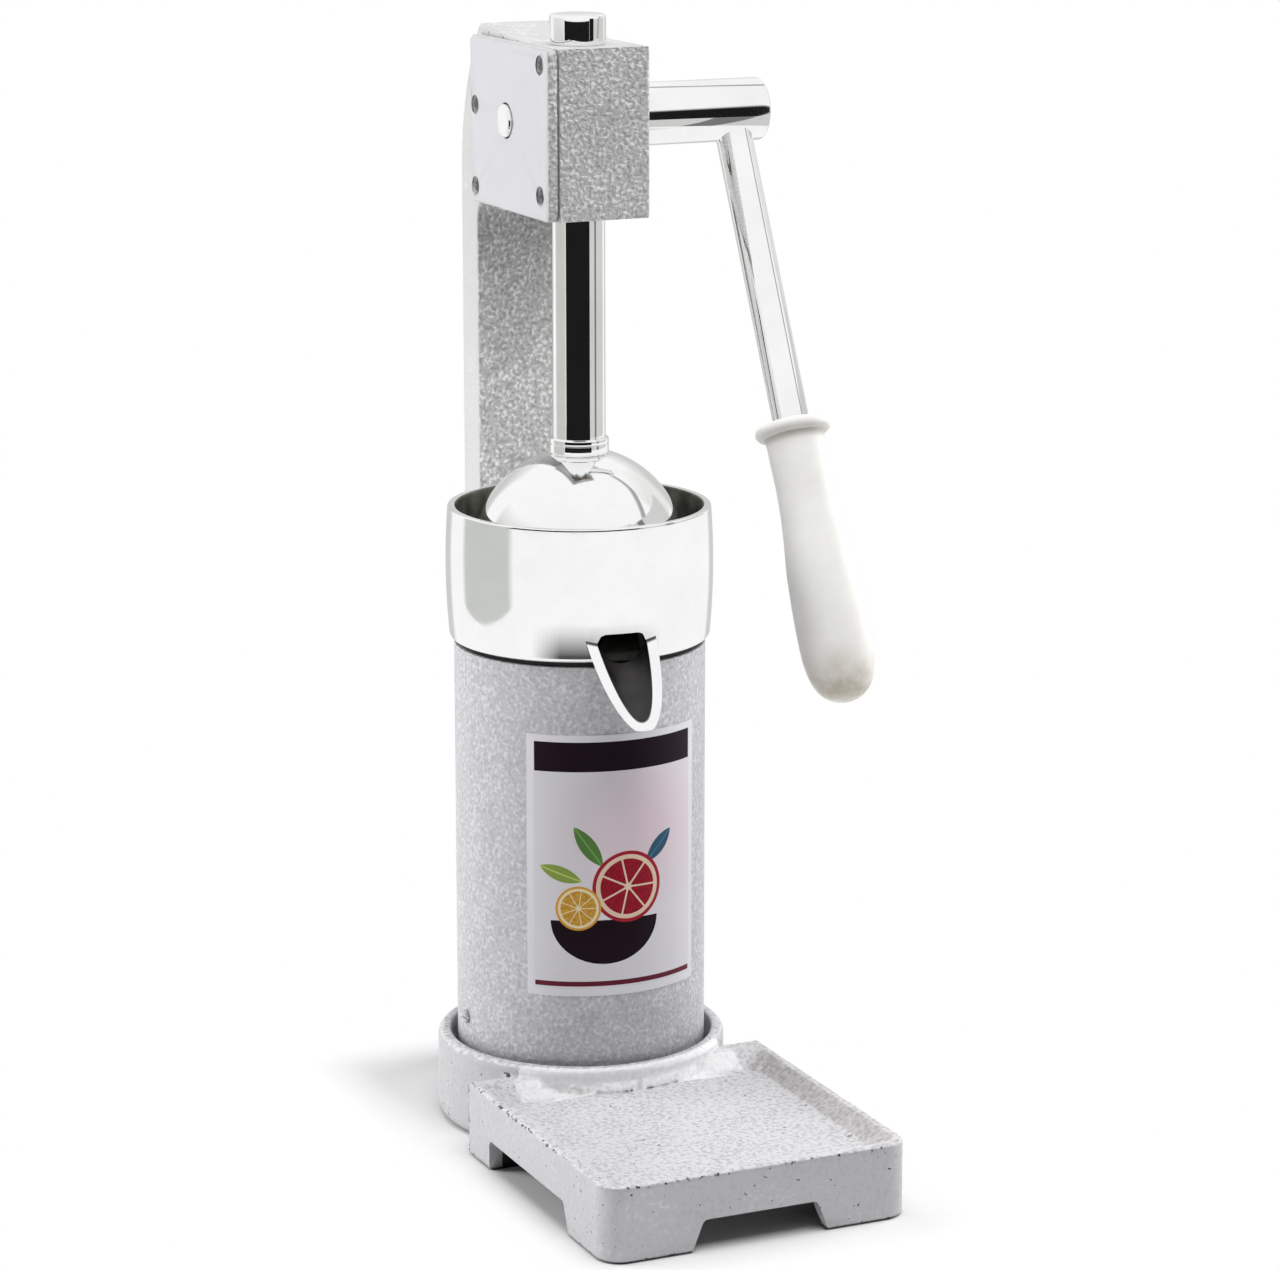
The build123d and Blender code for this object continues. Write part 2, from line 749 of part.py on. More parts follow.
# Pouring spout: a slanted tube whose upper side is cut away, fitted to the barrel of the cup
upwards = Vector(0, 0, 1)
spout_tip = spout_forward * (cup_belly_radius + spout_reach) + upwards * (tube_top - spout_drop)
spout_inward = upwards * sin(radians(spout_slope)) - spout_forward * cos(radians(spout_slope))
spout_upward = upwards * cos(radians(spout_slope)) + spout_forward * sin(radians(spout_slope))
spout_facing = upwards * cos(radians(spout_cut)) + spout_forward * sin(radians(spout_cut))
spout_bore = spout_radius - spout_wall
bore_inward = upwards * sin(radians(spout_bore_slope)) - spout_forward * cos(radians(spout_bore_slope))
bore_upward = upwards * cos(radians(spout_bore_slope)) + spout_forward * sin(radians(spout_bore_slope))
with BuildPart() as spout:
    spout_length = (cup_belly_radius + spout_reach) / cos(radians(spout_slope))
    spout_middle = spout_tip + spout_upward * spout_radius
    spout_end = Plane(origin=spout_middle, x_dir=spout_across, z_dir=spout_inward)
    with BuildSketch(spout_end):
        Circle(spout_radius)
    extrude(amount=spout_length)
    bore_middle = spout_tip + spout_upward * spout_bottom + bore_upward * spout_bore
    with BuildSketch(Plane(origin=bore_middle, x_dir=spout_across, z_dir=bore_inward)):
        Circle(spout_bore)
    extrude(amount=spout_length, both=True, mode=Mode.SUBTRACT)
    spout_edge = spout_tip + spout_upward * spout_lip
    spout_opening = Plane(origin=spout_edge, x_dir=spout_across, z_dir=spout_facing)
    split(bisect_by=spout_opening, keep=Keep.BOTTOM)
    with BuildSketch(Plane.XZ):
        with BuildLine():
            cup_side = ThreePointArc(
                (cup_foot_radius, barrel_foot),
                (cup_belly_radius, tube_top + cup_belly_rise),
                (cup_rim_radius, cup_rim),
            )
            tube_clear = tube_radius + spout_tube_gap
            Polyline(
                cup_side @ 1,
                (0, cup_rim),
                (0, tube_seat),
                (tube_clear, tube_seat),
                (tube_clear, barrel_foot),
                cup_side @ 0,
            )
        make_face()
    revolve(axis=Axis.Z, mode=Mode.SUBTRACT)

spout.part.label = "spout"
export_step(spout.part, "parts/spout.step")


# Strainer: a perforated plate on the cup's ledge with a ribbed cone that the fruit is pressed on
with BuildPart() as strainer_cone:
    plate_top = strainer_seat + strainer_thickness
    plate_radius = cup_bore - strainer_gap
    cone_tip = plate_top + cone_height
    # The side of the cone runs tangent into its ball nose
    nose_z = cone_tip - cone_nose
    nose_rise = nose_z - plate_top
    nose_turn = acos(cone_nose / hypot(cone_radius, nose_rise)) - atan2(nose_rise, cone_radius)
    nose_edge = (cone_nose * cos(nose_turn), nose_z + cone_nose * sin(nose_turn))
    hollow_nose = cone_nose - cone_wall
    hollow_edge = (hollow_nose * cos(nose_turn), nose_z + hollow_nose * sin(nose_turn))
    hollow_foot = hollow_edge[0] + (hollow_edge[1] - strainer_seat) * tan(nose_turn)
    with BuildSketch(Plane.XZ):
        with BuildLine():
            nose_outside = RadiusArc(nose_edge, (0, cone_tip), -cone_nose)
            nose_inside = RadiusArc(hollow_edge, (0, nose_z + hollow_nose), -hollow_nose)
            Line(nose_outside @ 1, nose_inside @ 1)
            Polyline(
                nose_inside @ 0,
                (hollow_foot, strainer_seat),
                (plate_radius, strainer_seat),
                (plate_radius, plate_top),
                (cone_radius, plate_top),
                nose_outside @ 0,
            )
        make_face()
    revolve(axis=Axis.Z)
    hole_step = (sump_radius - cone_radius) / (strainer_hole_rows + 1)
    for row in range(strainer_hole_rows):
        with BuildSketch(Plane.XY.offset(strainer_seat)):
            with PolarLocations(cone_radius + (row + 1) * hole_step, strainer_hole_count):
                Circle(strainer_hole_radius)
        extrude(amount=strainer_thickness, mode=Mode.SUBTRACT)

    # Crescent ribs, thickest half way up the cone, rooted inside its wall
    rib_foot = (cone_radius - cone_wall / 2, plate_top - strainer_thickness / 2)
    rib_head = (nose_edge[0] - cone_wall / 2, nose_edge[1])
    for rib in range(cone_rib_count):
        rib_angle = 2 * pi * (rib + 0.5) / cone_rib_count
        rib_plane = Plane(
            origin=(0, 0, 0),
            x_dir=(cos(rib_angle), sin(rib_angle), 0),
            z_dir=(sin(rib_angle), -cos(rib_angle), 0),
        )
        with BuildSketch(rib_plane):
            with BuildLine():
                SagittaArc(rib_foot, rib_head, -cone_rib_height)
                Line(rib_foot, rib_head)
            make_face()
        extrude(amount=cone_rib_width / 2, both=True)

strainer_cone.part.label = "strainer_cone"
export_step(strainer_cone.part, "parts/strainer_cone.step")


# Press dome: a hollow half ball with a short skirt and a flat boss under the collar
with BuildPart() as press_dome:
    with BuildSketch(Plane.XZ) as dome_section:
        flat_radius = sqrt(dome_radius**2 - (dome_top - dome_equator) ** 2)
        boss_corner = dome_equator + sqrt(dome_bore**2 - dome_boss_radius**2)
        screw_hole = dome_screw_radius + screw_gap
        with BuildLine():
            dome_outside = RadiusArc((dome_radius, dome_equator), (flat_radius, dome_top), -dome_radius)
            dome_inside = RadiusArc((dome_bore, dome_equator), (dome_boss_radius, boss_corner), -dome_bore)
            Polyline(
                dome_outside @ 1,
                (screw_hole, dome_top),
                (screw_hole, dome_boss_bottom),
                (dome_boss_radius, dome_boss_bottom),
                dome_inside @ 1,
            )
            Polyline(
                dome_inside @ 0,
                (dome_bore, dome_equator - dome_skirt),
                (dome_radius, dome_equator - dome_skirt),
                dome_outside @ 0,
            )
        make_face()
        fillet(dome_section.vertices().group_by(Axis.Y)[0], dome_rim_edge)
    revolve(axis=Axis.Z)

press_dome.part.label = "press_dome"
export_step(press_dome.part, "parts/press_dome.step")


# Collar between the dome and the shoulder of the rod
with BuildPart() as dome_collar:
    with BuildSketch(Plane.XY.offset(dome_top)):
        Circle(collar_radius)
    extrude(amount=collar_height)
    chamfer(dome_collar.edges(), collar_edge)
    with BuildSketch(Plane.XY.offset(dome_top)):
        Circle(dome_screw_radius + screw_gap)
    extrude(amount=collar_height, mode=Mode.SUBTRACT)

dome_collar.part.label = "dome_collar"
export_step(dome_collar.part, "parts/dome_collar.step")


# Washer and hexagon screw inside the dome, up through the collar into the rod
dome_screw_seat = dome_boss_bottom - dome_washer_thickness
with BuildPart() as dome_washer:
    with BuildSketch(Plane.XY.offset(dome_screw_seat)):
        Circle(dome_washer_radius)
        Circle(dome_screw_radius + screw_gap, mode=Mode.SUBTRACT)
    extrude(amount=dome_washer_thickness)

dome_washer.part.label = "dome_washer"
export_step(dome_washer.part, "parts/dome_washer.step")

with BuildPart() as dome_screw:
    with BuildSketch(Plane.XY.offset(dome_screw_seat)):
        RegularPolygon(dome_screw_head_radius, hexagon_side_count)
    extrude(amount=-dome_screw_head_height)
    with BuildSketch(Plane.XY.offset(dome_screw_seat)):
        Circle(dome_screw_radius)
    extrude(amount=rod_bottom + dome_screw_reach - dome_screw_seat)

dome_screw.part.label = "dome_screw"
export_step(dome_screw.part, "parts/dome_screw.step")


# Rack rod: round chromed bar with the rack cut in a flat on its back
with BuildPart() as rack_rod:
    with BuildSketch(Plane.XY.offset(rod_bottom)):
        Circle(rod_radius)
    extrude(amount=head_top - rod_bottom)
    with BuildSketch(Plane.XY.offset(head_top)):
        Circle(cap_stud_radius)
    extrude(amount=cap_stud_length)
    with BuildSketch(Plane.XY.offset(rod_bottom)):
        Circle(dome_screw_radius + seat_gap)
    extrude(amount=dome_screw_reach + screw_gap, mode=Mode.SUBTRACT)

    # The flat ends where the tips of the pinion come clear of the full round at each end of the lift
    tip_reach = sqrt((pinion_tip + chamber_gap) ** 2 - (shaft_y - rod_radius) ** 2)
    flat_top = shaft_z + tip_reach
    flat_bottom = shaft_z - lift - tip_reach
    with BuildSketch(Plane.YZ):
        with Locations(((rack_tip + 2 * rod_radius) / 2, (flat_top + flat_bottom) / 2)):
            Rectangle(2 * rod_radius - rack_tip, flat_top - flat_bottom)
    extrude(amount=2 * rod_radius, both=True, mode=Mode.SUBTRACT)

    # Straight-sided spaces, one of them level with the shaft when the dome is down
    flank_run = tan(radians(pressure_angle))
    space_mouth = pitch / 2 + 2 * gear_module * flank_run
    space_root = pitch / 2 - 2 * (rack_set_back - rack_root) * flank_run
    first_space = -floor((shaft_z - flat_bottom - pitch / 2) / pitch)
    last_space = floor((flat_top - shaft_z - pitch / 2) / pitch)
    with BuildSketch(Plane.YZ):
        for space in range(first_space, last_space + 1):
            space_z = shaft_z + space * pitch
            with BuildLine():
                Polyline(
                    (rack_root, space_z - space_root / 2),
                    (rack_root, space_z + space_root / 2),
                    (rack_tip, space_z + space_mouth / 2),
                    (rack_tip, space_z - space_mouth / 2),
                    close=True,
                )
            make_face()
    extrude(amount=2 * rod_radius, both=True, mode=Mode.SUBTRACT)

rack_rod.part.label = "rack_rod"
export_step(rack_rod.part, "parts/rack_rod.step")


# Stop cap on top of the rod, which lands on the head when the dome is down
with BuildPart() as stop_cap:
    with BuildSketch(Plane.XY.offset(head_top)):
        Circle(cap_radius)
    extrude(amount=cap_height)
    chamfer(stop_cap.edges(), cap_edge)
    with BuildSketch(Plane.XY.offset(head_top)):
        Circle(cap_stud_radius + seat_gap)
    extrude(amount=cap_stud_length + seat_gap, mode=Mode.SUBTRACT)

stop_cap.part.label = "stop_cap"
export_step(stop_cap.part, "parts/stop_cap.step")


# Cross shaft: thin left end, keyed pinion seat, and the thick bar that carries the lever
key_top = shaft_z + shaft_seat_radius + key_height / 2
circlip_left = pinion_left - circlip_thickness
groove_radius = shaft_seat_radius - circlip_depth
lever_out = Vector(0, -sin(radians(lever_angle)), -cos(radians(lever_angle)))
lever_centre = Vector(lever_x, shaft_y, shaft_z)
lever_plane = Plane(origin=lever_centre, x_dir=(1, 0, 0), z_dir=lever_out)
with BuildPart() as cross_shaft:
    with BuildSketch(Plane.YZ.offset(pinion_right)):
        with Locations((shaft_y, shaft_z)):
            Circle(shaft_radius)
    extrude(amount=shaft_right - pinion_right)
    chamfer(cross_shaft.edges().group_by(Axis.X)[-1], shaft_edge)
    with BuildSketch(Plane.YZ.offset(pinion_right)):
        with Locations((shaft_y, shaft_z)):
            Circle(shaft_seat_radius)
    extrude(amount=seat_left - pinion_right)
    with BuildSketch(Plane.YZ.offset(seat_left)):
        with Locations((shaft_y, shaft_z)):
            Circle(shaft_end_radius)
    extrude(amount=cover_left - shaft_end_proud - seat_left)
    chamfer(cross_shaft.edges().group_by(Axis.X)[0], shaft_edge)
    with BuildSketch(Plane.YZ.offset(circlip_left)):
        with Locations((shaft_y, shaft_z)):
            Circle(shaft_seat_radius)
            Circle(groove_radius, mode=Mode.SUBTRACT)
    extrude(amount=circlip_thickness, mode=Mode.SUBTRACT)
    with BuildSketch(Plane.YZ.offset(pinion_right - key_length)):
        with Locations((shaft_y, key_top - key_height / 2)):
            Rectangle(key_width, key_height)
    extrude(amount=key_length, mode=Mode.SUBTRACT)
    with BuildSketch(lever_plane):
        Circle(lever_spigot_radius + seat_gap)
    extrude(amount=-(lever_spigot_depth - shaft_radius), mode=Mode.SUBTRACT)
    with BuildSketch(lever_plane):
        Circle(lever_spigot_radius + seat_gap)
    extrude(amount=2 * shaft_radius, mode=Mode.SUBTRACT)

cross_shaft.part.label = "cross_shaft"
export_step(cross_shaft.part, "parts/cross_shaft.step")


# Pinion: involute teeth, one of them in the rack space level with the shaft, and a keyed bore
def tooth_angle(radius):
    """Half the angle that a tooth covers at a radius, on involute flanks."""
    slant = acos(min(1.0, pinion_base / radius))
    start = radians(pressure_angle)
    half_pitch_angle = (pitch / 2 - backlash) / (2 * pinion_radius)
    return half_pitch_angle + (tan(start) - start) - (tan(slant) - slant)


def pinion_outline():
    """Points round the pinion, tooth by tooth, from the tooth that points at the rack."""
    flank_start = max(pinion_base, pinion_root)
    radii = [pinion_root]
    for step in range(flank_steps + 1):
        radii.append(flank_start + (pinion_tip - flank_start) * step / flank_steps)
    points = []
    for tooth in range(pinion_teeth):
        middle = pi + 2 * pi * tooth / pinion_teeth
        for radius in radii:
            turn = middle - tooth_angle(radius)
            points.append((shaft_y + radius * cos(turn), shaft_z + radius * sin(turn)))
        for radius in reversed(radii):
            turn = middle + tooth_angle(radius)
            points.append((shaft_y + radius * cos(turn), shaft_z + radius * sin(turn)))
    return points


with BuildPart() as pinion:
    with BuildSketch(Plane.YZ.offset(pinion_left)):
        with BuildLine():
            Polyline(*pinion_outline(), close=True)
        make_face()
        with Locations((shaft_y, shaft_z)):
            Circle(shaft_seat_radius + seat_gap, mode=Mode.SUBTRACT)
        with Locations((shaft_y, key_top - key_height / 2)):
            Rectangle(key_width + 2 * seat_gap, key_height + 2 * seat_gap, mode=Mode.SUBTRACT)
    extrude(amount=pinion_width)

pinion.part.label = "pinion"
export_step(pinion.part, "parts/pinion.step")


# Key between the pinion and the shaft
with BuildPart() as pinion_key:
    with BuildSketch(Plane.YZ.offset(pinion_right - key_length)):
        with Locations((shaft_y, key_top - key_height / 2)):
            Rectangle(key_width, key_height)
    extrude(amount=key_length)

pinion_key.part.label = "pinion_key"
export_step(pinion_key.part, "parts/pinion_key.step")


# Spring ring that keeps the pinion against the shoulder of the shaft
with BuildPart() as pinion_circlip:
    with BuildSketch(Plane.YZ.offset(circlip_left)):
        with Locations((shaft_y, shaft_z)):
            Circle(groove_radius + circlip_width)
            Circle(groove_radius, mode=Mode.SUBTRACT)
        with Locations((shaft_y, shaft_z - groove_radius)):
            Rectangle(circlip_opening, 2 * circlip_width + groove_radius, mode=Mode.SUBTRACT)
    extrude(amount=circlip_thickness)

pinion_circlip.part.label = "pinion_circlip"
export_step(pinion_circlip.part, "parts/pinion_circlip.step")


# Lever: round bar saddled on the cross shaft, with a spigot in the shaft's cross hole
grip_end = grip_start + grip_length
lever_end = grip_end - grip_bore_from_end
with BuildPart() as lever_rod:
    with BuildSketch(lever_plane):
        Circle(lever_radius)
    extrude(amount=lever_end)
    with BuildSketch(Plane.YZ.offset(pinion_right)):
        with Locations((shaft_y, shaft_z)):
            Circle(shaft_radius)
    extrude(amount=shaft_right - pinion_right, mode=Mode.SUBTRACT)
    with BuildSketch(lever_plane.offset(2 * shaft_radius)):
        Circle(lever_spigot_radius)
    extrude(amount=-(lever_spigot_depth + shaft_radius - seat_gap))

lever_rod.part.label = "lever_rod"
export_step(lever_rod.part, "parts/lever_rod.step")


# Grip: turned plastic handle with a flange at the top and a swelling near its round end
with BuildPart() as lever_grip:
    grip_plane = Plane(origin=lever_centre, x_dir=(1, 0, 0), z_dir=Vector(1, 0, 0).cross(lever_out))
    neck_at = grip_start + grip_flange_thickness + grip_neck_length
    bulge_at = grip_end - grip_bulge_from_end
    with BuildSketch(grip_plane):
        with BuildLine():
            flange_inner = grip_flange_radius - grip_flange_thickness / 2
            flange_edge = ThreePointArc(
                (flange_inner, grip_start),
                (grip_flange_radius, grip_start + grip_flange_thickness / 2),
                (flange_inner, grip_start + grip_flange_thickness),
            )
            side = Spline(
                flange_edge @ 1,
                (grip_neck_radius, neck_at),
                (grip_middle_radius, (neck_at + bulge_at) / 2),
                (grip_bulge_radius, bulge_at),
                tangents=[(-1, 0), (0, 1)],
            )
            Spline(
                side @ 1,
                (grip_nose_radius, grip_end - grip_nose_length),
                (0, grip_end),
                tangents=[(0, 1), (-1, 0)],
            )
            Polyline((0, grip_end), (0, grip_start), flange_edge @ 0)
        make_face()
    revolve(axis=Axis(lever_centre, lever_out))
    with BuildSketch(lever_plane.offset(grip_start)):
        Circle(lever_radius + seat_gap)
    extrude(amount=lever_end + seat_gap - grip_start, mode=Mode.SUBTRACT)

lever_grip.part.label = "lever_grip"
export_step(lever_grip.part, "parts/lever_grip.step")
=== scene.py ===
import bmesh
import bpy
import numpy as np
from mathutils import Matrix


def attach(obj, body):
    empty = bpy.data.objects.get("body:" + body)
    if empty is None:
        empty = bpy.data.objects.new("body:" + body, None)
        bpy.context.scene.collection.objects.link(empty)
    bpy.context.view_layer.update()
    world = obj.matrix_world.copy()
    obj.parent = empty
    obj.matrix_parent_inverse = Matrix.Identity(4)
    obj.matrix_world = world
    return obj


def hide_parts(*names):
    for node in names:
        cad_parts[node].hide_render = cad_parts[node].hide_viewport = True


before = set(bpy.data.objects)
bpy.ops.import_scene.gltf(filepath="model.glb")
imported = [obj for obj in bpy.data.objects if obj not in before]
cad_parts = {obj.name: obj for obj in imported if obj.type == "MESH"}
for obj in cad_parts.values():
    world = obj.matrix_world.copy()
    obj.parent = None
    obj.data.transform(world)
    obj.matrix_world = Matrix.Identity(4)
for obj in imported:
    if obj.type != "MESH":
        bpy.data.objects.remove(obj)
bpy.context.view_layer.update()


# Base casting
# One sand casting in light metal: a drip tray on arched feet, the round skirt that the body tube stands in,
# and a pad behind it for the column. It is sprayed with silver hammered paint, which chips along its edges.
mm = 0.001
crease_angle = np.radians(32)


def in_scene(name, mesh):
    """Puts a finished mesh into the scene as an object of that name, at the origin."""
    piece = bpy.data.objects.new(name, mesh)
    bpy.context.scene.collection.objects.link(piece)
    return piece


def fitted(piece, body, slot, material, *nodes):
    """Gives a piece its material, fixes it to a body, and lets it stand for the solids of its nodes."""
    piece.data.materials.clear()
    piece.data.materials.append(material)
    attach(piece, body)
    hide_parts(*nodes)
    return piece


def joined(mesh, gap, outward=False):
    """Joins the points of a mesh that coincide, and smooths it except at edges past the crease angle."""
    work = bmesh.new()
    work.from_mesh(mesh)
    bmesh.ops.remove_doubles(work, verts=work.verts, dist=gap)
    if outward:
        bmesh.ops.recalc_face_normals(work, faces=work.faces)
    work.to_mesh(mesh)
    work.free()
    mesh.shade_smooth()
    mesh.set_sharp_from_angle(angle=crease_angle)


def dressed_solid(name, node, slot, material):
    """A solid of the stand, with its points joined and its shading evened out, in its finish."""
    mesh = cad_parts[node].data.copy()
    mesh.name = name
    joined(mesh, 2e-6)
    piece = in_scene(name, mesh)
    piece.modifiers.new("even_shading", "WEIGHTED_NORMAL").keep_sharp = True
    fitted(piece, "stand", slot, material, node)


def plug(value, socket):
    """Links a socket to another one, or sets it to a plain value."""
    if isinstance(value, bpy.types.NodeSocket):
        socket.id_data.links.new(value, socket)
    else:
        socket.default_value = value


def feed(node, **values):
    """Sets a node up: a value goes to the input of that name, or else to the node's own setting."""
    for key, value in values.items():
        label = key.replace("_", " ")
        if label in node.inputs:
            plug(value, node.inputs[label])
        else:
            setattr(node, key, value)
    return node


def new_finish(name, **plain):
    """A material with one Principled shader, whose plain values are set by the names of its sockets."""
    material = bpy.data.materials.new(name)
    material.use_nodes = True
    tree = material.node_tree
    return material, tree, feed(tree.nodes["Principled BSDF"], **plain)


def so_far(shader, label="Base Color"):
    """What feeds a socket of a shader so far."""
    return shader.inputs[label].links[0].from_socket


def add(tree, kind, **values):
    """A new shader node of a kind, set up by name."""
    return feed(tree.nodes.new("ShaderNode" + kind), **values)


def operate(kind, operation, terms):
    """A Math or Vector Math node of sockets and plain values, in order, in the tree of the first socket."""
    tree = next(term.id_data for term in terms if isinstance(term, bpy.types.NodeSocket))
    node = add(tree, kind, operation=operation)
    for socket, term in zip(node.inputs, terms):
        plug(term, socket)
    return node


def calc(operation, *terms):
    """The value that a Math node gives."""
    return operate("Math", operation, terms).outputs["Value"]


def times(first, *others):
    """The product of two or more values."""
    for other in others:
        first = calc("MULTIPLY", first, other)
    return first


def arrow(operation, *terms):
    """The vector that a Vector Math node gives, or its value for a length or a dot product."""
    is_value = operation in ("LENGTH", "DOT_PRODUCT")
    return operate("VectorMath", operation, terms).outputs["Value" if is_value else "Vector"]


def parts(vector):
    """The X, Y and Z of a vector."""
    return add(vector.id_data, "SeparateXYZ", Vector=vector).outputs


def own(tree, kind="Object"):
    """Where a point lies in its piece's own frame, or the way it faces there."""
    return add(tree, "TexCoord").outputs[kind]


def noise(tree, scale, detail, rough=0.5, distortion=0.0):
    """Smooth noise through a piece, of a scale per metre."""
    return add(tree, "TexNoise", Vector=own(tree), Scale=scale, Detail=detail, Roughness=rough,
               Distortion=distortion).outputs["Fac"]


def fade(value, start, end, low=0.0, high=1.0):
    """A value that goes from low at start to high at end, and stays there outside."""
    node = add(value.id_data, "MapRange", Value=value, From_Min=start, From_Max=end, To_Min=low, To_Max=high)
    return node.outputs["Result"]


def tones(factor, *stops):
    """A colour that follows a factor through (place, colour) stops; a single number is a grey."""
    node = add(factor.id_data, "ValToRGB", Fac=factor)
    steps = node.color_ramp.elements
    while len(steps) < len(stops):
        steps.new(0.5)
    for step, (place, colour) in zip(steps, stops):
        step.position = place
        step.color = (*((colour,) * 3 if isinstance(colour, float) else colour), 1.0)
    return node.outputs["Color"]


def over(under, mask, colour):
    """A colour laid over another where the mask is 1; each colour is a socket or three numbers."""
    node = add(mask.id_data, "Mix", data_type="RGBA")
    plug(mask, node.inputs[0])
    for place, value in ((6, under), (7, colour)):
        plug((*value, 1.0) if isinstance(value, tuple) else value, node.inputs[place])
    return node.outputs[2]


def bumps(height, depth):
    """The normal of a surface that stands up to a depth, in metres, where its height is 1."""
    return add(height.id_data, "Bump", Height=height, Strength=1.0, Distance=depth).outputs["Normal"]


def new_group(name, inputs, outputs):
    """A shader node group: its inputs have plain values or vectors, and each output is a value."""
    group = bpy.data.node_groups.new(name, "ShaderNodeTree")
    for label, value in inputs.items():
        kind = "NodeSocketVector" if isinstance(value, tuple) else "NodeSocketFloat"
        group.interface.new_socket(label, in_out="INPUT", socket_type=kind).default_value = value
    for label in outputs:
        group.interface.new_socket(label, in_out="OUTPUT", socket_type="NodeSocketFloat")
    return group, group.nodes.new("NodeGroupInput").outputs, group.nodes.new("NodeGroupOutput")


def place_group(tree, group, **values):
    """A group placed in a material with its own values; gives its outputs."""
    node = tree.nodes.new("ShaderNodeGroup")
    node.node_tree = group
    return feed(node, **values).outputs


def box_mm(middle, half):
    """The middle and the half sizes of a box, given in millimetres, in metres."""
    return tuple(np.multiply(middle, mm)), tuple(np.multiply(half, mm))


def box_depth(tree, middle, half):
    """How deep a point lies between each pair of faces of a box; less than 0 is outside."""
    offset = arrow("ABSOLUTE", arrow("SUBTRACT", own(tree), middle))
    return parts(arrow("SUBTRACT", half, offset))


# Hammered paint dries into rounded worms two or three millimetres long, thicker in some patches.
hammer_cells, given, result = new_group("hammer_cells", {"Specks per metre": 400.0}, ["Speck", "Patch"])
worms = noise(hammer_cells, given["Specks per metre"], 1.2, 0.5, 0.25)
patches = noise(hammer_cells, times(given["Specks per metre"], 0.12), 2.0, 0.6)
feed(result, Speck=fade(worms, 0.28, 0.72), Patch=fade(patches, 0.3, 0.7))

# How far a point of a boxy casting is from the nearest edge of its box; far away outside the box.
box_edges, given, result = new_group("box_edges", {"Middle": (0.0, 0.0, 0.0), "Half": (1.0, 1.0, 1.0)},
                                     ["Gap"])
depth = box_depth(box_edges, given["Middle"], given["Half"])
lower = calc("MINIMUM", depth["X"], depth["Y"])
upper = calc("MAXIMUM", depth["X"], depth["Y"])
median = calc("MAXIMUM", lower, calc("MINIMUM", upper, depth["Z"]))
outside = calc("LESS_THAN", calc("MINIMUM", lower, depth["Z"]), -1.5 * mm)
feed(result, Gap=calc("ADD", median, outside))


def hammer_finish(name, specks, pit, body, crest, relief, flake=0.25, coarse=(0.0, 0.0, 1.0), fine=1.0,
                  top_light=0.0):
    """Silver hammered paint: greys and relief on the specks, and a share of metal flake. The grain is full on
    the side that lies coarse and a share of it elsewhere; upper faces are painted lighter towards the crest
    as painted top light."""
    material, tree, shader = new_finish(name, Metallic=flake)
    cells = place_group(tree, hammer_cells, Specks_per_metre=specks)
    facing = own(tree, "Normal")
    grain = fade(arrow("DOT_PRODUCT", facing, coarse), 0.5, 0.8, fine, 1.0)
    # Painted top light: faces that look upwards are painted lighter by the top light share.
    top_lit_level = fade(parts(facing)["Z"], 0.5, 0.8, 0.5, 0.5 + top_light)
    mottle = calc("MULTIPLY_ADD", calc("SUBTRACT", cells["Speck"], 0.5), grain, top_lit_level)
    mottle = calc("MULTIPLY_ADD", calc("SUBTRACT", cells["Patch"], 0.5), 0.2, mottle)
    paint = tones(mottle, (0.1, pit), (0.45, body), (0.6, body), (0.9, crest))
    feed(shader, Base_Color=paint, Roughness=fade(cells["Speck"], 0.0, 1.0, 0.52, 0.38),
         Normal=bumps(times(cells["Speck"], grain), relief * mm))
    return material, tree, shader, cells


def chipped(shader, box, wear):
    """Bare dark chips in a paint, near the edges of a box, where coarse flakes of noise pass a limit."""
    tree = shader.id_data
    gap = place_group(tree, box_edges, Middle=box[0], Half=box[1])["Gap"]
    near_edge = fade(gap, 0.0, 1.8 * mm, 1.0, 0.0)
    score = calc("MULTIPLY_ADD", near_edge, 0.2, noise(tree, 420.0, 3.0, 0.6))
    bare = calc("GREATER_THAN", score, wear)
    feed(shader, Base_Color=over(so_far(shader), bare, (0.07, 0.065, 0.06)))


def inside_box(tree, box):
    """1 inside a box, fading out just under its faces."""
    depth = box_depth(tree, *box)
    deepest = calc("MINIMUM", calc("MINIMUM", depth["X"], depth["Y"]), depth["Z"])
    return fade(deepest, 0.0, 0.2 * mm)


tray_box = box_mm((0, -100.5, 15), (63.4, 66.5, 15))
ramp_light_box = box_mm((0, -52, 31), (48, 14, 6.4))
recess_box = box_mm((0, -103.5, 27.5), (60, 60, 2.6))
hollow_box = box_mm((0, -104, 9.2), (58, 57.6, 10.6))
base_paint, tree, shader, cells = hammer_finish("base_paint", 520.0, (0.44, 0.437, 0.45), (0.54, 0.537, 0.56),
                                                (0.72, 0.717, 0.735), 0.3, fine=0.35, top_light=0.36)
chipped(shader, tray_box, 0.69)

# The right wall of the recess is painted darker and browner, and the ramp behind the recess, which faces the
# front, is painted pale as painted light falling from the front and above.
facing = parts(own(tree, "Normal"))
sloping = times(fade(facing["X"], -0.15, -0.3), fade(facing["Z"], 0.55, 0.7))
darker_right_wall = times(sloping, inside_box(tree, recess_box), fade(cells["Speck"], 0.0, 1.0, 0.8, 0.35))
# Painted light: the front-facing ramp in this box is painted pale.
painted_ramp_light = times(fade(facing["Y"], -0.15, -0.3), inside_box(tree, ramp_light_box),
               fade(cells["Speck"], 0.0, 1.0, 0.75, 1.0))
paint = over(so_far(shader), painted_ramp_light, (0.92, 0.915, 0.93))
paint = over(paint, darker_right_wall, (0.40, 0.36, 0.355))
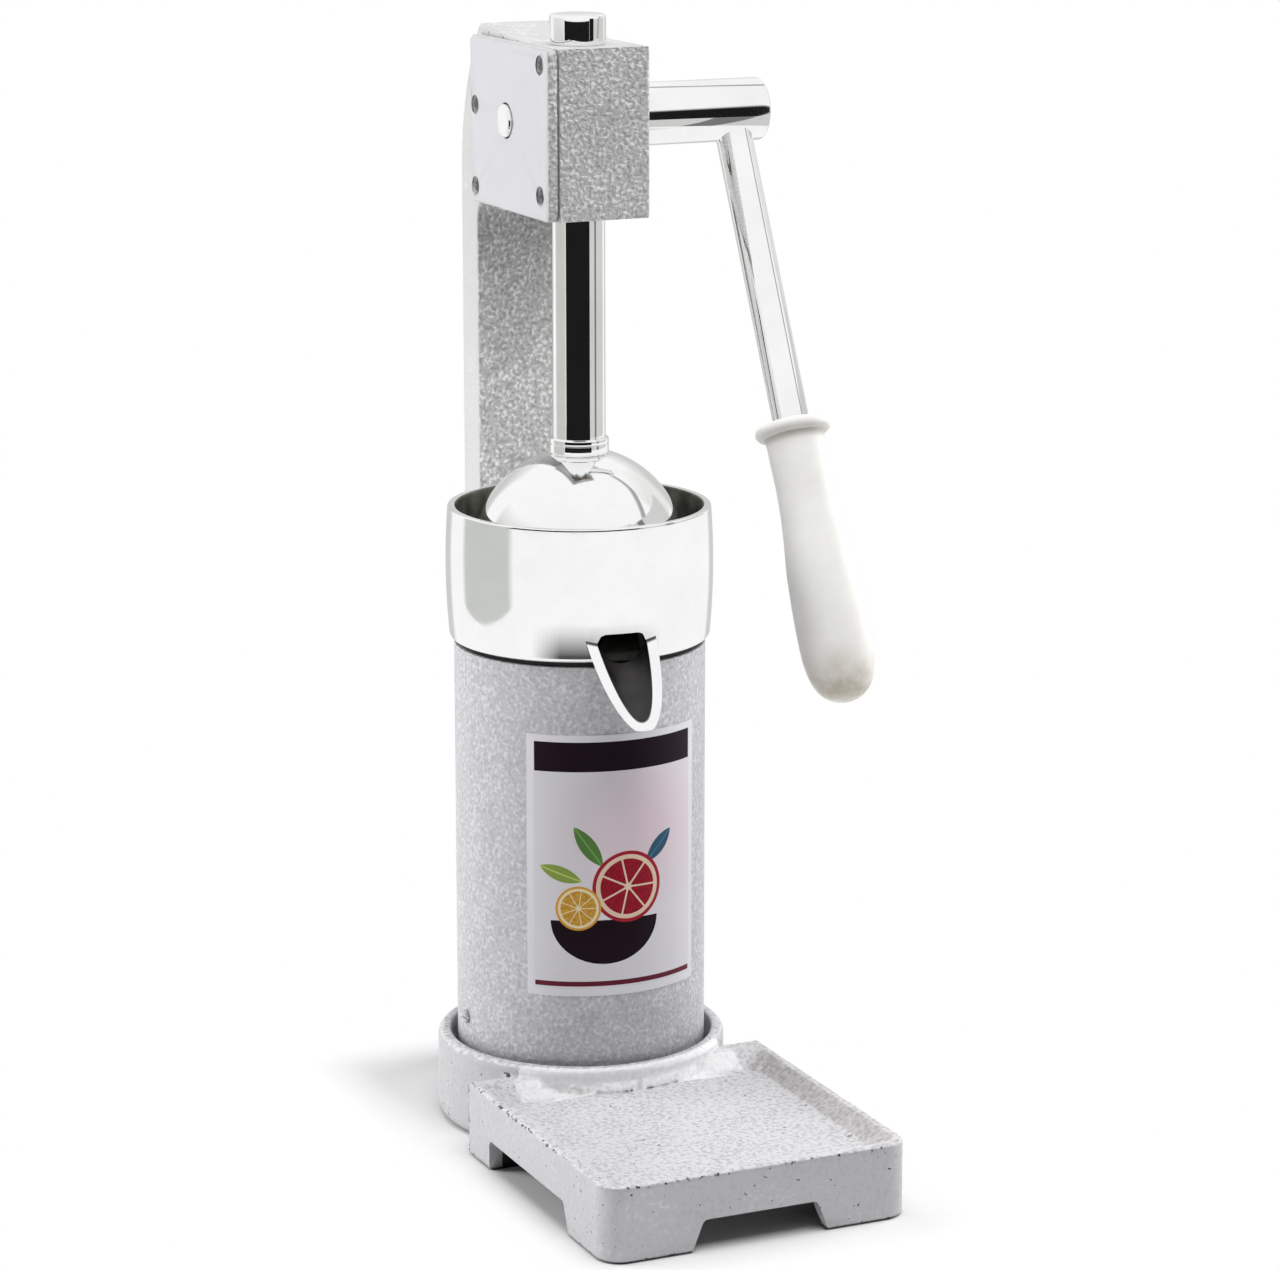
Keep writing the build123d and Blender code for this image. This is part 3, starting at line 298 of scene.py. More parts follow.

# The hollow under the tray and the lowest strip round the feet are painted near black, as painted shade under
# the tray and along the feet.
# Painted contact shade along the bottom of the feet.
grime_and_contact_shade = fade(parts(own(tree))["Z"], 1.4 * mm, 0.5 * mm)
dark = calc("MAXIMUM", inside_box(tree, hollow_box), grime_and_contact_shade)
feed(shader, Base_Color=over(paint, dark, (0.03, 0.028, 0.026)))
dressed_solid("cast_base", "base_casting", "hammer_paint", base_paint)


# Body tube
# A drawn tube, sprayed with a finer coat of the same hammered paint. It stands in the socket of the base.
def fillets(*corners, steps=6):
    """A closed profile through (radius, height, fillet) corners, each rounded by an arc of its fillet."""
    corners = np.asarray(corners, float)
    points = []
    for before, here, after in zip(np.roll(corners, 1, 0), corners, np.roll(corners, -1, 0)):
        if here[2] <= 0:
            points.append(here[None, :2])
            continue
        back = (before - here)[:2]
        ahead = (after - here)[:2]
        back = back / np.linalg.norm(back)
        ahead = ahead / np.linalg.norm(ahead)
        half = np.arccos(back @ ahead) / 2
        middle = here[:2] + (back + ahead) / np.linalg.norm(back + ahead) * here[2] / np.sin(half)
        start = here[:2] + back * here[2] / np.tan(half) - middle
        end = here[:2] + ahead * here[2] / np.tan(half) - middle
        share = np.linspace(0, 1, steps + 1)[:, None]
        turn = np.pi - 2 * half
        bend = (np.sin((1 - share) * turn) * start + np.sin(share * turn) * end) / np.sin(turn)
        points.append(middle + bend)
    return np.concatenate(points)


def round_basis(along):
    """Two unit vectors square to an axis and to each other; the first points to the front or to the right."""
    along = np.asarray(along, float)
    hint = np.array((0.0, -1.0, 0.0)) if abs(along[2]) > 0.99 else np.array((1.0, 0.0, 0.0))
    hint = np.array((0.0, 0.0, 1.0)) if abs(along[0]) > 0.99 else hint
    first = hint - along * (hint @ along)
    first = first / np.linalg.norm(first)
    return first, np.cross(along, first)


def grid_quads(rows, columns, closed_rows, closed_columns):
    """The quads of a grid of points, row by row; a closed direction joins its last line to its first."""
    row, column = np.meshgrid(np.arange(rows if closed_rows else rows - 1),
                              np.arange(columns if closed_columns else columns - 1), indexing="ij")
    below = (row + 1) % rows * columns
    beside = (column + 1) % columns
    return np.stack([row * columns + column, row * columns + beside, below + beside, below + column], -1)


def skin(name, points, quads):
    """A closed skin from points in millimetres: those that coincide are joined, and faces turned outwards."""
    mesh = bpy.data.meshes.new(name)
    mesh.from_pydata((points.reshape(-1, 3) * mm).tolist(), [], quads.reshape(-1, 4).tolist())
    joined(mesh, 1e-6, outward=True)
    return in_scene(name, mesh)


def turned(name, profile, columns=160, centre=(0, 0, 0), along=(0, 0, 1)):
    """A closed profile of (radius, distance along the axis) carried round the axis in equal steps."""
    radius, distance = np.asarray(profile, float).T[:, :, None, None]
    first, second = round_basis(along)
    angle = np.linspace(0, 2 * np.pi, columns, endpoint=False)[:, None]
    ring = np.cos(angle) * first + np.sin(angle) * second
    points = np.asarray(centre, float) + distance * np.asarray(along, float) + radius * ring
    return skin(name, points, grid_quads(len(profile), columns, True, True))


tube_radius = 50.0
tube_bore = 47.0
tube_foot = 14.0
tube_top = 196.0
tube_paint = hammer_finish("tube_paint", 640.0, (0.44, 0.438, 0.46), (0.53, 0.528, 0.555),
                           (0.66, 0.658, 0.68), 0.14)[0]
tube_profile = fillets((tube_bore, tube_foot, 0.3), (tube_radius, tube_foot, 0.4),
                       (tube_radius, tube_top, 0.5), (tube_bore, tube_top, 0.4))
fitted(turned("painted_tube", tube_profile, 192), "stand", "hammer_paint", tube_paint, "body_tube")


# Plated fasteners
# Zinc-plated steel, rolled and slotted or hexagonal. Three small screws hold the tube to the base, and two
# bolts with washers hold the column on its pad from below.
zinc_steel, tree, shader = new_finish("zinc_steel", Metallic=1.0)
crystals = noise(tree, 700.0, 4.0, 0.6)
feed(shader, Base_Color=tones(crystals, (0.3, (0.46, 0.46, 0.48)), (0.7, 0.72)),
     Roughness=fade(crystals, 0.3, 0.7, 0.22, 0.42))
dressed_solid("button_screws", "tube_screws", "zinc_steel", zinc_steel)
dressed_solid("pad_bolts", "column_bolts", "zinc_steel", zinc_steel)
dressed_solid("pad_washers", "column_washers", "zinc_steel", zinc_steel)


# Label
# A thin printed film stuck round the front of the tube, turned with the cup. Its print is a plain design in a
# pale border: two round slices with leaves over a dark bowl, between a dark band and a thin crimson line.
def shell(name, outer, inner):
    """A closed skin between two grids of the same shape: both grids, and strips that join their borders."""
    rows, columns = outer.shape[:2]
    faces = grid_quads(rows, columns, False, False).reshape(-1, 4)
    number = np.arange(rows * columns).reshape(rows, columns)
    border = np.concatenate([number[0, :-1], number[:-1, -1], number[-1, :0:-1], number[:0:-1, 0]])
    ahead = np.roll(border, -1)
    strips = np.stack([border, ahead, ahead + rows * columns, border + rows * columns], -1)
    points = np.concatenate([outer.reshape(-1, 3), inner.reshape(-1, 3)])
    return skin(name, points, np.concatenate([faces, faces + rows * columns, strips]))


def tube_patch(radius, heights, angles):
    """A grid on a cylinder about the tube's axis, from heights and angles; angle 0 points to the right."""
    height, angle = np.meshgrid(heights, angles, indexing="ij")
    return np.stack([radius * np.cos(angle), radius * np.sin(angle), height], -1)


label_foot = 63.0
label_height = 106.0
label_turn = np.radians(5.3)
label_half_angle = np.radians(43.0)
label_radii = (50.35, 50.1)
label_angles = -np.pi / 2 - label_turn + np.linspace(-label_half_angle, label_half_angle, 97)
label_heights = label_foot + np.linspace(0, label_height, 9)
label_grids = [tube_patch(radius, label_heights, label_angles) for radius in label_radii]

# A place of the print, in millimetres across from its middle line and up from its foot.
label_film, tree, shader = new_finish("label_film", Specular_IOR_Level=0.1)
place = parts(own(tree))
turn = calc("ARCTAN2", place["X"], times(place["Y"], -1.0))
across = times(calc("ADD", turn, label_turn), label_radii[0])
upward = calc("MULTIPLY_ADD", place["Z"], 1 / mm, -label_foot)
spot = add(tree, "CombineXYZ", X=across, Y=upward, Z=0.0).outputs["Vector"]


def within(value, low, high):
    """1 where a value lies between two limits."""
    return calc("COMPARE", value, (low + high) / 2, (high - low) / 2)


def panel(half_width, foot, top):
    """1 inside an upright rectangle about the middle line of the print."""
    return times(within(across, -half_width, half_width), within(upward, foot, top))


def from_middle(centre, stretch=(1.0, 1.0), lean=0.0):
    """A place of the print seen from a centre, turned by a lean in degrees and then squeezed."""
    node = add(spot.id_data, "Mapping", vector_type="TEXTURE", Vector=spot, Location=(*centre, 0.0),
               Rotation=(0.0, 0.0, np.radians(lean)), Scale=(*stretch, 1.0))
    return node.outputs["Vector"]


def cut_slice(under, centre, radius, rind, pith, pulp, wedges):
    """A round slice: rind, a ring of pith, and pulp in wedges with thin skins between them."""
    place = from_middle(centre)
    distance = arrow("LENGTH", place)
    leg = parts(place)
    swing = calc("ARCTAN2", leg["Y"], leg["X"])
    wedge = calc("ABSOLUTE", calc("SINE", times(swing, wedges / 2)))
    mottle = add(spot.id_data, "TexNoise", Vector=spot, Scale=0.9, Detail=3.0).outputs["Fac"]
    moist = tones(mottle, (0.35, tuple(0.6 * part for part in pulp)), (0.65, pulp))
    flesh = times(within(distance, 0.1 * radius, 0.78 * radius),
                  calc("GREATER_THAN", times(wedge, distance), 0.09 * radius))
    colour = over(under, calc("LESS_THAN", distance, radius), rind)
    colour = over(colour, calc("LESS_THAN", distance, 0.9 * radius), pith)
    return over(colour, flesh, moist)


def leaf(under, centre, length, width, lean, green):
    """A pointed leaf: the overlap of two discs, with a paler midrib."""
    bow = (length ** 2 + width ** 2) / (4 * width)
    place = from_middle(centre, lean=lean)
    away = bow - width / 2
    first = arrow("LENGTH", arrow("SUBTRACT", place, (0.0, away, 0.0)))
    second = arrow("LENGTH", arrow("SUBTRACT", place, (0.0, -away, 0.0)))
    blade = calc("LESS_THAN", calc("MAXIMUM", first, second), bow)
    rib = within(parts(place)["Y"], -0.3, 0.3)
    colour = over(under, blade, green)
    return over(colour, times(blade, rib), tuple(1.8 * part for part in green))


ink = (0.011, 0.004, 0.008)
crimson = (0.12, 0.015, 0.03)
border_width = 3.0
band_half = 34.5
bowl_top = 31.0
sheen = noise(tree, 14.0, 2.0)
print_colour = tones(sheen, (0.3, (0.70, 0.69, 0.73)), (0.7, (0.76, 0.75, 0.77)))
field_half = label_half_angle * label_radii[0] - border_width
blush = fade(arrow("LENGTH", from_middle((12.0, 66.0))), 8.0, 40.0, 0.6, 0.0)
backing = over((0.68, 0.665, 0.70), blush, (0.70, 0.52, 0.58))
bowl = arrow("LENGTH", from_middle((-6.0, bowl_top), (22.0, 18.0)))
bowl = times(calc("LESS_THAN", bowl, 1.0), calc("LESS_THAN", upward, bowl_top))
for mask, colour in ((panel(field_half, border_width, label_height - border_width), backing),
                     (panel(band_half, 91.3, 103.2), ink), (panel(band_half, 4.0, 6.0), crimson),
                     (bowl, ink)):
    print_colour = over(print_colour, mask, colour)
for drawn in (((-13.0, 61.0), 20.0, 6.5, 125.0, (0.09, 0.20, 0.05)),
              ((-24.0, 50.0), 18.0, 6.0, 160.0, (0.24, 0.32, 0.07)),
              ((17.0, 59.0), 17.0, 6.0, 45.0, (0.03, 0.09, 0.15))):
    print_colour = leaf(print_colour, *drawn)
for drawn in (((3.0, 44.0), 14.5, (0.34, 0.015, 0.03), (0.72, 0.55, 0.42), (0.36, 0.012, 0.03), 7),
              ((-17.0, 36.0), 9.0, (0.62, 0.30, 0.04), (0.76, 0.66, 0.42), (0.68, 0.36, 0.05), 9)):
    print_colour = cut_slice(print_colour, *drawn)
feed(shader, Base_Color=print_colour, Roughness=fade(sheen, 0.3, 0.7, 0.3, 0.42),
     Normal=bumps(noise(tree, 45.0, 1.0), 0.12 * mm))
fitted(shell("printed_label", *label_grids), "stand", "label_film", label_film, "front_label")


# Arm casting
# Column and head in one casting, in a coarser coat of the same paint. It is bolted to the pad from below.
cover_joint = -17.0 * mm
joint_shadow = (0.14, 0.14, 0.14)


def near_joint(tree):
    """1 along the joint between the head and its cover."""
    gap = calc("ABSOLUTE", calc("SUBTRACT", parts(own(tree))["X"], cover_joint))
    return fade(gap, 0.6 * mm, 0.2 * mm)


arm_box = box_mm((2.35, 29.5, 215.7), (19.35, 49.5, 215.7))
arm_paint, tree, shader, _ = hammer_finish("arm_paint", 600.0, 0.42, 0.61, 0.95, 0.35, 0.4,
                                           coarse=(0.0, -1.0, 0.0), fine=0.15, top_light=0.1)
chipped(shader, arm_box, 0.83)
facing = parts(own(tree, "Normal"))
joint_line = times(near_joint(tree), fade(facing["X"], -0.8, -0.5))
paint = over(so_far(shader), joint_line, joint_shadow)

# The front of the column is painted darker towards the head, as painted shade under the head's overhang.
height = parts(own(tree))["Z"]
painted_head_shade = times(fade(height, 285 * mm, 362 * mm, 0.0, 0.3),
             calc("LESS_THAN", height, 365.2 * mm), fade(facing["Y"], -0.5, -0.8))
feed(shader, Base_Color=over(paint, painted_head_shade, (0.2, 0.2, 0.195)))
dressed_solid("cast_arm", "arm_casting", "hammer_paint", arm_paint)


# Gear cover
# A flat plate, ground and sprayed in smooth light grey, that closes the left side of the head. Four slotted
# screws, sunk in their holes, hold it.
plate_face = -21.3 * mm
cover_paint, tree, shader, cells = hammer_finish("cover_paint", 600.0, 0.38, 0.56, 0.88, 0.35,
                                                 coarse=(0.0, -1.0, 0.0), fine=0.3)
peel = noise(tree, 900.0, 2.0)
haze = noise(tree, 60.0, 4.0, 0.65)
ground = fade(parts(own(tree))["X"], plate_face + 0.5 * mm, plate_face + 0.2 * mm)
plate_tone = tones(haze, (0.3, (0.57, 0.565, 0.595)), (0.7, (0.595, 0.59, 0.615)))
paint = over(so_far(shader), ground, plate_tone)
relief = calc("MULTIPLY_ADD", calc("SUBTRACT", 1.0, ground), cells["Speck"], times(peel, 0.06))
feed(shader, Base_Color=over(paint, near_joint(tree), joint_shadow),
     Roughness=fade(haze, 0.3, 0.7, 0.34, 0.44), Normal=bumps(relief, 0.4 * mm))
dressed_solid("cover_plate", "gear_cover", "cover_paint", cover_paint)
dressed_solid("sunk_screws", "cover_screws", "zinc_steel", zinc_steel)


# Bushes
# Sintered bronze, pressed into the head: two round the rod and two round the cross shaft.
bronze, tree, shader = new_finish("bronze", Metallic=1.0)
pores = noise(tree, 1600.0, 3.0, 0.7)
feed(shader, Base_Color=tones(pores, (0.35, (0.12, 0.09, 0.06)), (0.6, (0.28, 0.22, 0.15))),
     Roughness=fade(pores, 0.3, 0.7, 0.5, 0.34), Normal=bumps(pores, 0.05 * mm))


def coat(material, *nodes):
    """Gives solids that stay in view their material."""
    for node in nodes:
        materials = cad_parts[node].data.materials
        materials.clear()
        materials.append(material)


coat(bronze, "upper_rod_bush", "lower_rod_bush", "left_shaft_bush", "right_shaft_bush")


# Cup
# Cast in aluminium, turned and polished on the outside, and dull with use inside, where it is also painted
# dark as shade. A spigot centres it in the tube over a thin shadow gap, and an outlet at the foot of its wall
# leads into the spout.
spout_turn = label_turn
spout_forward = np.array((-np.sin(spout_turn), -np.cos(spout_turn), 0.0))
spout_across = np.array((np.cos(spout_turn), -np.sin(spout_turn), 0.0))
cup_rim = 251.0
barrel_foot = 197.8
barrel_arc = np.array(((51.6, barrel_foot), (53.0, 222.0), (52.1, cup_rim)))
arc_terms = np.linalg.solve(np.column_stack([barrel_arc, np.ones(3)]), -(barrel_arc ** 2).sum(1))
arc_centre = -arc_terms[:2] / 2
arc_radius = np.sqrt(arc_centre @ arc_centre - arc_terms[2])


def arc(centre, radius, turns):
    """Points of a circle about a centre, at turns from its right side."""
    return np.asarray(centre) + radius * np.stack([np.cos(turns), np.sin(turns)], -1)


def barrel_radius(height):
    """The cup's outer radius at a height, on the circle through its foot, its belly and its rim."""
    return arc_centre[0] + np.sqrt(arc_radius ** 2 - (height - arc_centre[1]) ** 2)


cup_columns = 192
cup_bore = 49.0
cup_ledge = 212.0
cup_foot = 196.0
neck_radius = 48.4
spigot_radius = 46.8
spigot_bore = 43.6
spigot_foot = 186.0
spigot_cut = 0.4
sump_radius = 46.5
sump_floor = 201.0
outlet_top = 209.5
outlet_half = 10.0
outlet_corner = 4.0
outlet_sill = 199.1
outlet_side = 6
outlet_steps = np.linspace(0, 1, 9)
rim_round = 0.9
foot_round = 2.5

rim_turn = np.linspace(0, np.pi / 2, 6)
wall_top = cup_rim - rim_round
rim_outer = arc((barrel_radius(wall_top) - rim_round, wall_top), rim_round, rim_turn)
rim_inner = arc((cup_bore + rim_round, wall_top), rim_round, rim_turn + np.pi / 2)
foot_top = barrel_foot + foot_round
foot_turn = np.linspace(-np.pi / 2, 0, 8)[:-1]
foot_arc = arc((barrel_radius(foot_top) - foot_round, foot_top), foot_round, foot_turn)
foot_rows = np.concatenate([[(spigot_radius, cup_foot), (neck_radius, cup_foot), (neck_radius, barrel_foot)],
                            foot_arc])
outlet_heights = foot_top + outlet_steps * (outlet_top - foot_top)
wall_heights = np.concatenate([outlet_heights, np.linspace(cup_ledge, wall_top - 0.15, 24)])
wall_rows = np.stack([barrel_radius(wall_heights), wall_heights], -1)
bore_rows = np.array(((cup_bore, 238.0), (cup_bore, 225.0), (cup_bore, cup_ledge), (sump_radius, cup_ledge)))
sump_heights = outlet_top - outlet_steps * (outlet_top - sump_floor)
sump_rows = np.stack([np.full(len(outlet_steps), sump_radius), sump_heights], -1)
under_rows = np.array(((0.0, sump_floor), (0.0, cup_foot), (spigot_bore, cup_foot),
                       (spigot_bore, spigot_foot + spigot_cut), (spigot_bore + spigot_cut, spigot_foot),
                       (spigot_radius - spigot_cut, spigot_foot), (spigot_radius, spigot_foot + spigot_cut)))
cup_profile = np.concatenate([foot_rows, wall_rows, rim_outer, rim_inner, bore_rows, sump_rows, under_rows])
outlet_start = len(foot_rows)
sump_start = len(cup_profile) - len(under_rows) - len(sump_rows)

# Round the outlet the rows of the wall are drawn together under its rounded top.
cup_radius = np.repeat(cup_profile[:, :1], cup_columns, 1)
cup_height = np.repeat(cup_profile[:, 1:], cup_columns, 1)
side_step = (np.arange(cup_columns) + cup_columns // 2) % cup_columns - cup_columns // 2
from_corner = np.clip(outlet_half * np.abs(side_step) / outlet_side - (outlet_half - outlet_corner), 0, None)
in_outlet = np.abs(side_step) <= outlet_side
lid = outlet_top - outlet_corner + np.sqrt(np.clip(outlet_corner ** 2 - from_corner ** 2, 0, None))
outer_lines = slice(outlet_start, outlet_start + len(outlet_steps))
sump_lines = slice(sump_start, sump_start + len(outlet_steps))
outer_gap = outlet_sill + outlet_steps[:, None] * (lid - outlet_sill)
sump_gap = sump_floor + outlet_steps[::-1, None] * (lid - sump_floor)
cup_height[outer_lines] = np.where(in_outlet, outer_gap, cup_height[outer_lines])
low_rows = cup_height[:outlet_start]
cup_height[:outlet_start] = np.where(in_outlet, np.minimum(low_rows, outlet_sill), low_rows)
cup_height[sump_lines] = np.where(in_outlet, sump_gap, cup_height[sump_lines])
cup_radius[outer_lines] = barrel_radius(cup_height[outer_lines])
cup_angle = -np.pi / 2 - spout_turn + side_step * 2 * np.pi / cup_columns
cup_points = np.stack([cup_radius * np.cos(cup_angle), cup_radius * np.sin(cup_angle), cup_height], -1)

# The faces of the outlet are left out of both walls, and a frame of faces joins the two openings.
cup_quads = grid_quads(len(cup_profile), cup_columns, True, True)
row, column = np.meshgrid(np.arange(len(cup_profile)), side_step, indexing="ij")
step_rows = len(outlet_steps) - 1
open_rows = ((row >= outlet_start) & (row < outlet_start + step_rows)) | (
    (row >= sump_start) & (row < sump_start + step_rows))
kept = ~(open_rows & (column >= -outlet_side) & (column < outlet_side))
sweep = np.arange(-outlet_side, outlet_side)
climb = np.arange(step_rows)
frame_column = np.concatenate([sweep, np.full(step_rows, outlet_side), -sweep,
                               np.full(step_rows, -outlet_side)])
frame_step = np.concatenate([np.zeros(len(sweep), int), climb, np.full(len(sweep), step_rows),
                             step_rows - climb])
outer_ring = (outlet_start + frame_step) * cup_columns + frame_column % cup_columns
sump_ring = (sump_start + step_rows - frame_step) * cup_columns + frame_column % cup_columns
outlet_quads = np.stack([outer_ring, np.roll(outer_ring, -1), np.roll(sump_ring, -1), sump_ring], -1)

# Where a point lies along and away from an axis.
axis_place, given, result = new_group("axis_place", {"Point": (0.0, 0.0, 0.0), "Direction": (0.0, 0.0, 1.0)},
                                      ["Along", "Radius"])
offset = arrow("SUBTRACT", own(axis_place), given["Point"])
radius = arrow("LENGTH", arrow("CROSS_PRODUCT", offset, given["Direction"]))
feed(result, Along=arrow("DOT_PRODUCT", offset, given["Direction"]), Radius=radius)

# Polish leaves fine lines round a turned piece, and hands leave smudges on it.
polish_marks, given, result = new_group("polish_marks", {"Along": 0.0, "Lines per metre": 2500.0},
                                        ["Line", "Smudge"])
lines = add(polish_marks, "TexNoise", noise_dimensions="1D", W=given["Along"], Scale=given["Lines per metre"],
            Detail=2.0)
feed(result, Line=lines.outputs["Fac"], Smudge=noise(polish_marks, 38.0, 4.0, 0.65))


def polish_finish(name, dark, light, rough_low, rough_high, point=(0, 0, 0), direction=(0, 0, 1)):
    """Bare polished metal, turned about an axis: its sheen follows the polishing lines and smudges."""
    material, tree, shader = new_finish(name, Metallic=1.0)
    place = place_group(tree, axis_place, Point=tuple(np.multiply(point, mm)), Direction=direction)
    marks = place_group(tree, polish_marks, Along=place["Along"])
    worn = calc("MULTIPLY_ADD", marks["Line"], 0.2, times(marks["Smudge"], 0.8))
    feed(shader, Base_Color=tones(worn, (0.38, light), (0.65, dark)),
         Roughness=fade(worn, 0.35, 0.68, rough_low, rough_high))
    return material, tree, shader, place


def dull_and_shade_inside(shader, polished, inside, shaded_dull_tone, metal, film, rough):
    """Lays a dull tone, darkened as painted shade, over the inside of a polished piece, less metallic and
    rougher by its film.
    """
    sheen = so_far(shader, "Roughness")
    feed(shader, Base_Color=over(polished, inside, shaded_dull_tone),
         Metallic=fade(inside, 0.0, 1.0, 1.0, metal),
         Roughness=calc("MULTIPLY_ADD", inside, fade(film, 0.3, 0.7, *rough), sheen))


aluminium = (0.89, 0.945, 0.04, 0.09)
cup_polish, tree, shader, place = polish_finish("cup_polish", *aluminium)
film = noise(tree, 130.0, 4.0, 0.6)
shaded_dull_tone = tones(film, (0.35, (0.07, 0.072, 0.058)), (0.65, (0.16, 0.16, 0.135)))
# Low in the sump and the outlet, the inside is painted near black as deeper painted shade.
shaded_dull_tone = over(shaded_dull_tone, fade(place["Along"], 200.5 * mm, 198.0 * mm), (0.012, 0.012, 0.011))
from_outlet = calc("ABSOLUTE", arrow("DOT_PRODUCT", own(tree), spout_across))
forward = arrow("DOT_PRODUCT", own(tree), spout_forward)
sill = times(fade(from_outlet, 10.4 * mm, 10.1 * mm), fade(forward, 46 * mm, 46.2 * mm),
             fade(place["Along"], 201.3 * mm, 201.1 * mm))
inside = calc("MAXIMUM", sill, fade(place["Radius"], 49.7 * mm, 49.3 * mm))
dull_and_shade_inside(shader, so_far(shader), inside, shaded_dull_tone, 0.55, film, (0.26, 0.42))
fitted(skin("polished_cup", cup_points, np.concatenate([cup_quads[kept], outlet_quads])),
       "stand", "polished_aluminium", cup_polish, "juice_cup")


# Spout
# A cast aluminium trough, cut on a slant and polished outside, that is brazed to the cup under its outlet.
straight_up = np.array((0.0, 0.0, 1.0))
spout_reach = 78.5
spout_height = 177.0
spout_tip = spout_forward * spout_reach + straight_up * spout_height
spout_slope, bore_slope, cut_slope = np.radians((30.0, 35.3, 46.5))
spout_radius = 14.5
spout_bore = 10.7
spout_wall_low = 1.2
spout_lip = 0.4
root_radius = 50.4
root_bite = 0.15


def slope_axes(slope):
    """Two unit vectors: back and up along a slope, and square to it."""
    along = straight_up * np.sin(slope) - spout_forward * np.cos(slope)
    square = straight_up * np.cos(slope) + spout_forward * np.sin(slope)
    return along, square


def trough_line(slope, radius, base, swing, distance):
    """A point of a trough: along its slope by a distance, and round it by a swing from its lowest line."""
    along, square = slope_axes(slope)
    rise = radius * (1 - np.cos(swing))
    return (base + distance[..., None] * along + rise[..., None] * square
            + (radius * np.sin(swing))[..., None] * spout_across)


def cut_start(slope, radius, top_light, swing):
    """How far along a trough's line the slanting cut lies, never before the tip."""
    fall = cut_slope - slope
    rise = radius * (1 - np.cos(swing)) * np.cos(fall)
    return np.clip((rise + top_light * np.cos(cut_slope - spout_slope)) / np.sin(fall), 0, None)


def root_end(slope, radius, base, swing):
    """How far along a trough's line the cup's barrel lies, by halving the interval."""
    low = np.zeros_like(swing)
    high = np.full_like(swing, 60.0)
    for _ in range(40):
        half = (low + high) / 2
        point = trough_line(slope, radius, base, swing, half)
        limit = np.maximum(root_radius, barrel_radius(point[..., 2]) - root_bite)
        outside = np.hypot(point[..., 0], point[..., 1]) > limit
        low = np.where(outside, half, low)
        high = np.where(outside, high, half)
    return low


def trough(slope, radius, base, top_light):
    """A trough from the slanting cut to the barrel, as far round each way as the cut comes first."""
    trial = np.linspace(0, np.pi / 2, 400)
    room = root_end(slope, radius, base, trial) - cut_start(slope, radius, top_light, trial)
    widest = np.interp(0.0, -room, trial)
    swing = np.linspace(-widest, widest, 65)
    share = np.linspace(0, 1, 25)[:, None]
    start = cut_start(slope, radius, top_light, swing)
    distance = start + share * (root_end(slope, radius, base, swing) - start)
    return trough_line(slope, radius, base, np.broadcast_to(swing, distance.shape), distance)


bore_base = spout_tip + slope_axes(spout_slope)[1] * spout_wall_low
spout_outer = trough(spout_slope, spout_radius, spout_tip, -spout_lip)
spout_inner = trough(bore_slope, spout_bore, bore_base, spout_wall_low - spout_lip)

# Its inside is dull with use and painted near black as painted shade, and a dark line follows the brazed
# joint.
bore_along, bore_square = slope_axes(bore_slope)
bore_middle = bore_base + bore_square * spout_bore
spout_polish, tree, shader, place = polish_finish("spout_polish", 0.88, 0.94, 0.05, 0.11, bore_middle,
                                                  tuple(bore_along))
film = noise(tree, 160.0, 4.0, 0.6)
shaded_dull_tone = tones(film, (0.35, (0.006, 0.005, 0.005)), (0.65, (0.02, 0.018, 0.017)))
inside = fade(place["Radius"], (spout_bore + 0.3) * mm, (spout_bore + 0.1) * mm)
from_axis = arrow("LENGTH", arrow("MULTIPLY", own(tree), (1.0, 1.0, 0.0)))
polished = over(so_far(shader), fade(from_axis, 53.6 * mm, 53.0 * mm), (0.08, 0.08, 0.08))
dull_and_shade_inside(shader, polished, inside, shaded_dull_tone, 0.1, film, (0.22, 0.38))
fitted(shell("pouring_spout", spout_outer, spout_inner), "stand", "polished_aluminium", spout_polish, "spout")


# Strainer
# Stainless steel, pressed into a ribbed cone under the dome, with holes round its plate.
strainer_steel, tree, shader = new_finish("strainer_steel", Metallic=1.0)
stain = noise(tree, 55.0, 3.0)
steel_tone = tones(noise(tree, 900.0, 3.0, 0.6), (0.35, 0.46), (0.65, 0.62))
feed(shader, Base_Color=over(steel_tone, fade(stain, 0.5, 0.7), (0.36, 0.32, 0.26)),
     Roughness=fade(stain, 0.3, 0.7, 0.24, 0.42))
dressed_solid("ribbed_strainer", "strainer_cone", "strainer_steel", strainer_steel)


# Press dome
# Cast in aluminium and polished like the cup: a hollow half ball with a boss inside for its screw and washer.
dome_radius = 42.2
dome_bore = 39.2
dome_centre = 231.0
dome_skirt = 228.0
dome_top = 271.2
boss_radius = 14.0
boss_foot = 265.2
screw_hole = 5.2
edge_cut = 0.6
top_turn = np.arcsin((dome_top - dome_centre) / dome_radius)
crown_turn = np.linspace(0, top_turn, 48)
crown = arc((0.0, dome_centre), dome_radius, crown_turn)
vault_turn = np.linspace(np.arccos(boss_radius / dome_bore), 0, 32)
vault = arc((0.0, dome_centre), dome_bore, vault_turn)
hem = np.array(((dome_bore, dome_skirt + edge_cut), (dome_bore + edge_cut, dome_skirt),
                (dome_radius - edge_cut, dome_skirt), (dome_radius, dome_skirt + edge_cut)))
bore_edge = np.array(((screw_hole, dome_top), (screw_hole, boss_foot), (boss_radius - edge_cut, boss_foot),
                      (boss_radius, boss_foot + edge_cut)))
dome_profile = np.concatenate([hem, crown, bore_edge, vault])
dome_polish = polish_finish("dome_polish", *aluminium)[0]
fitted(turned("polished_dome", dome_profile, 192), "plunger", "polished_aluminium", dome_polish, "press_dome")
coat(zinc_steel, "dome_washer", "dome_screw")


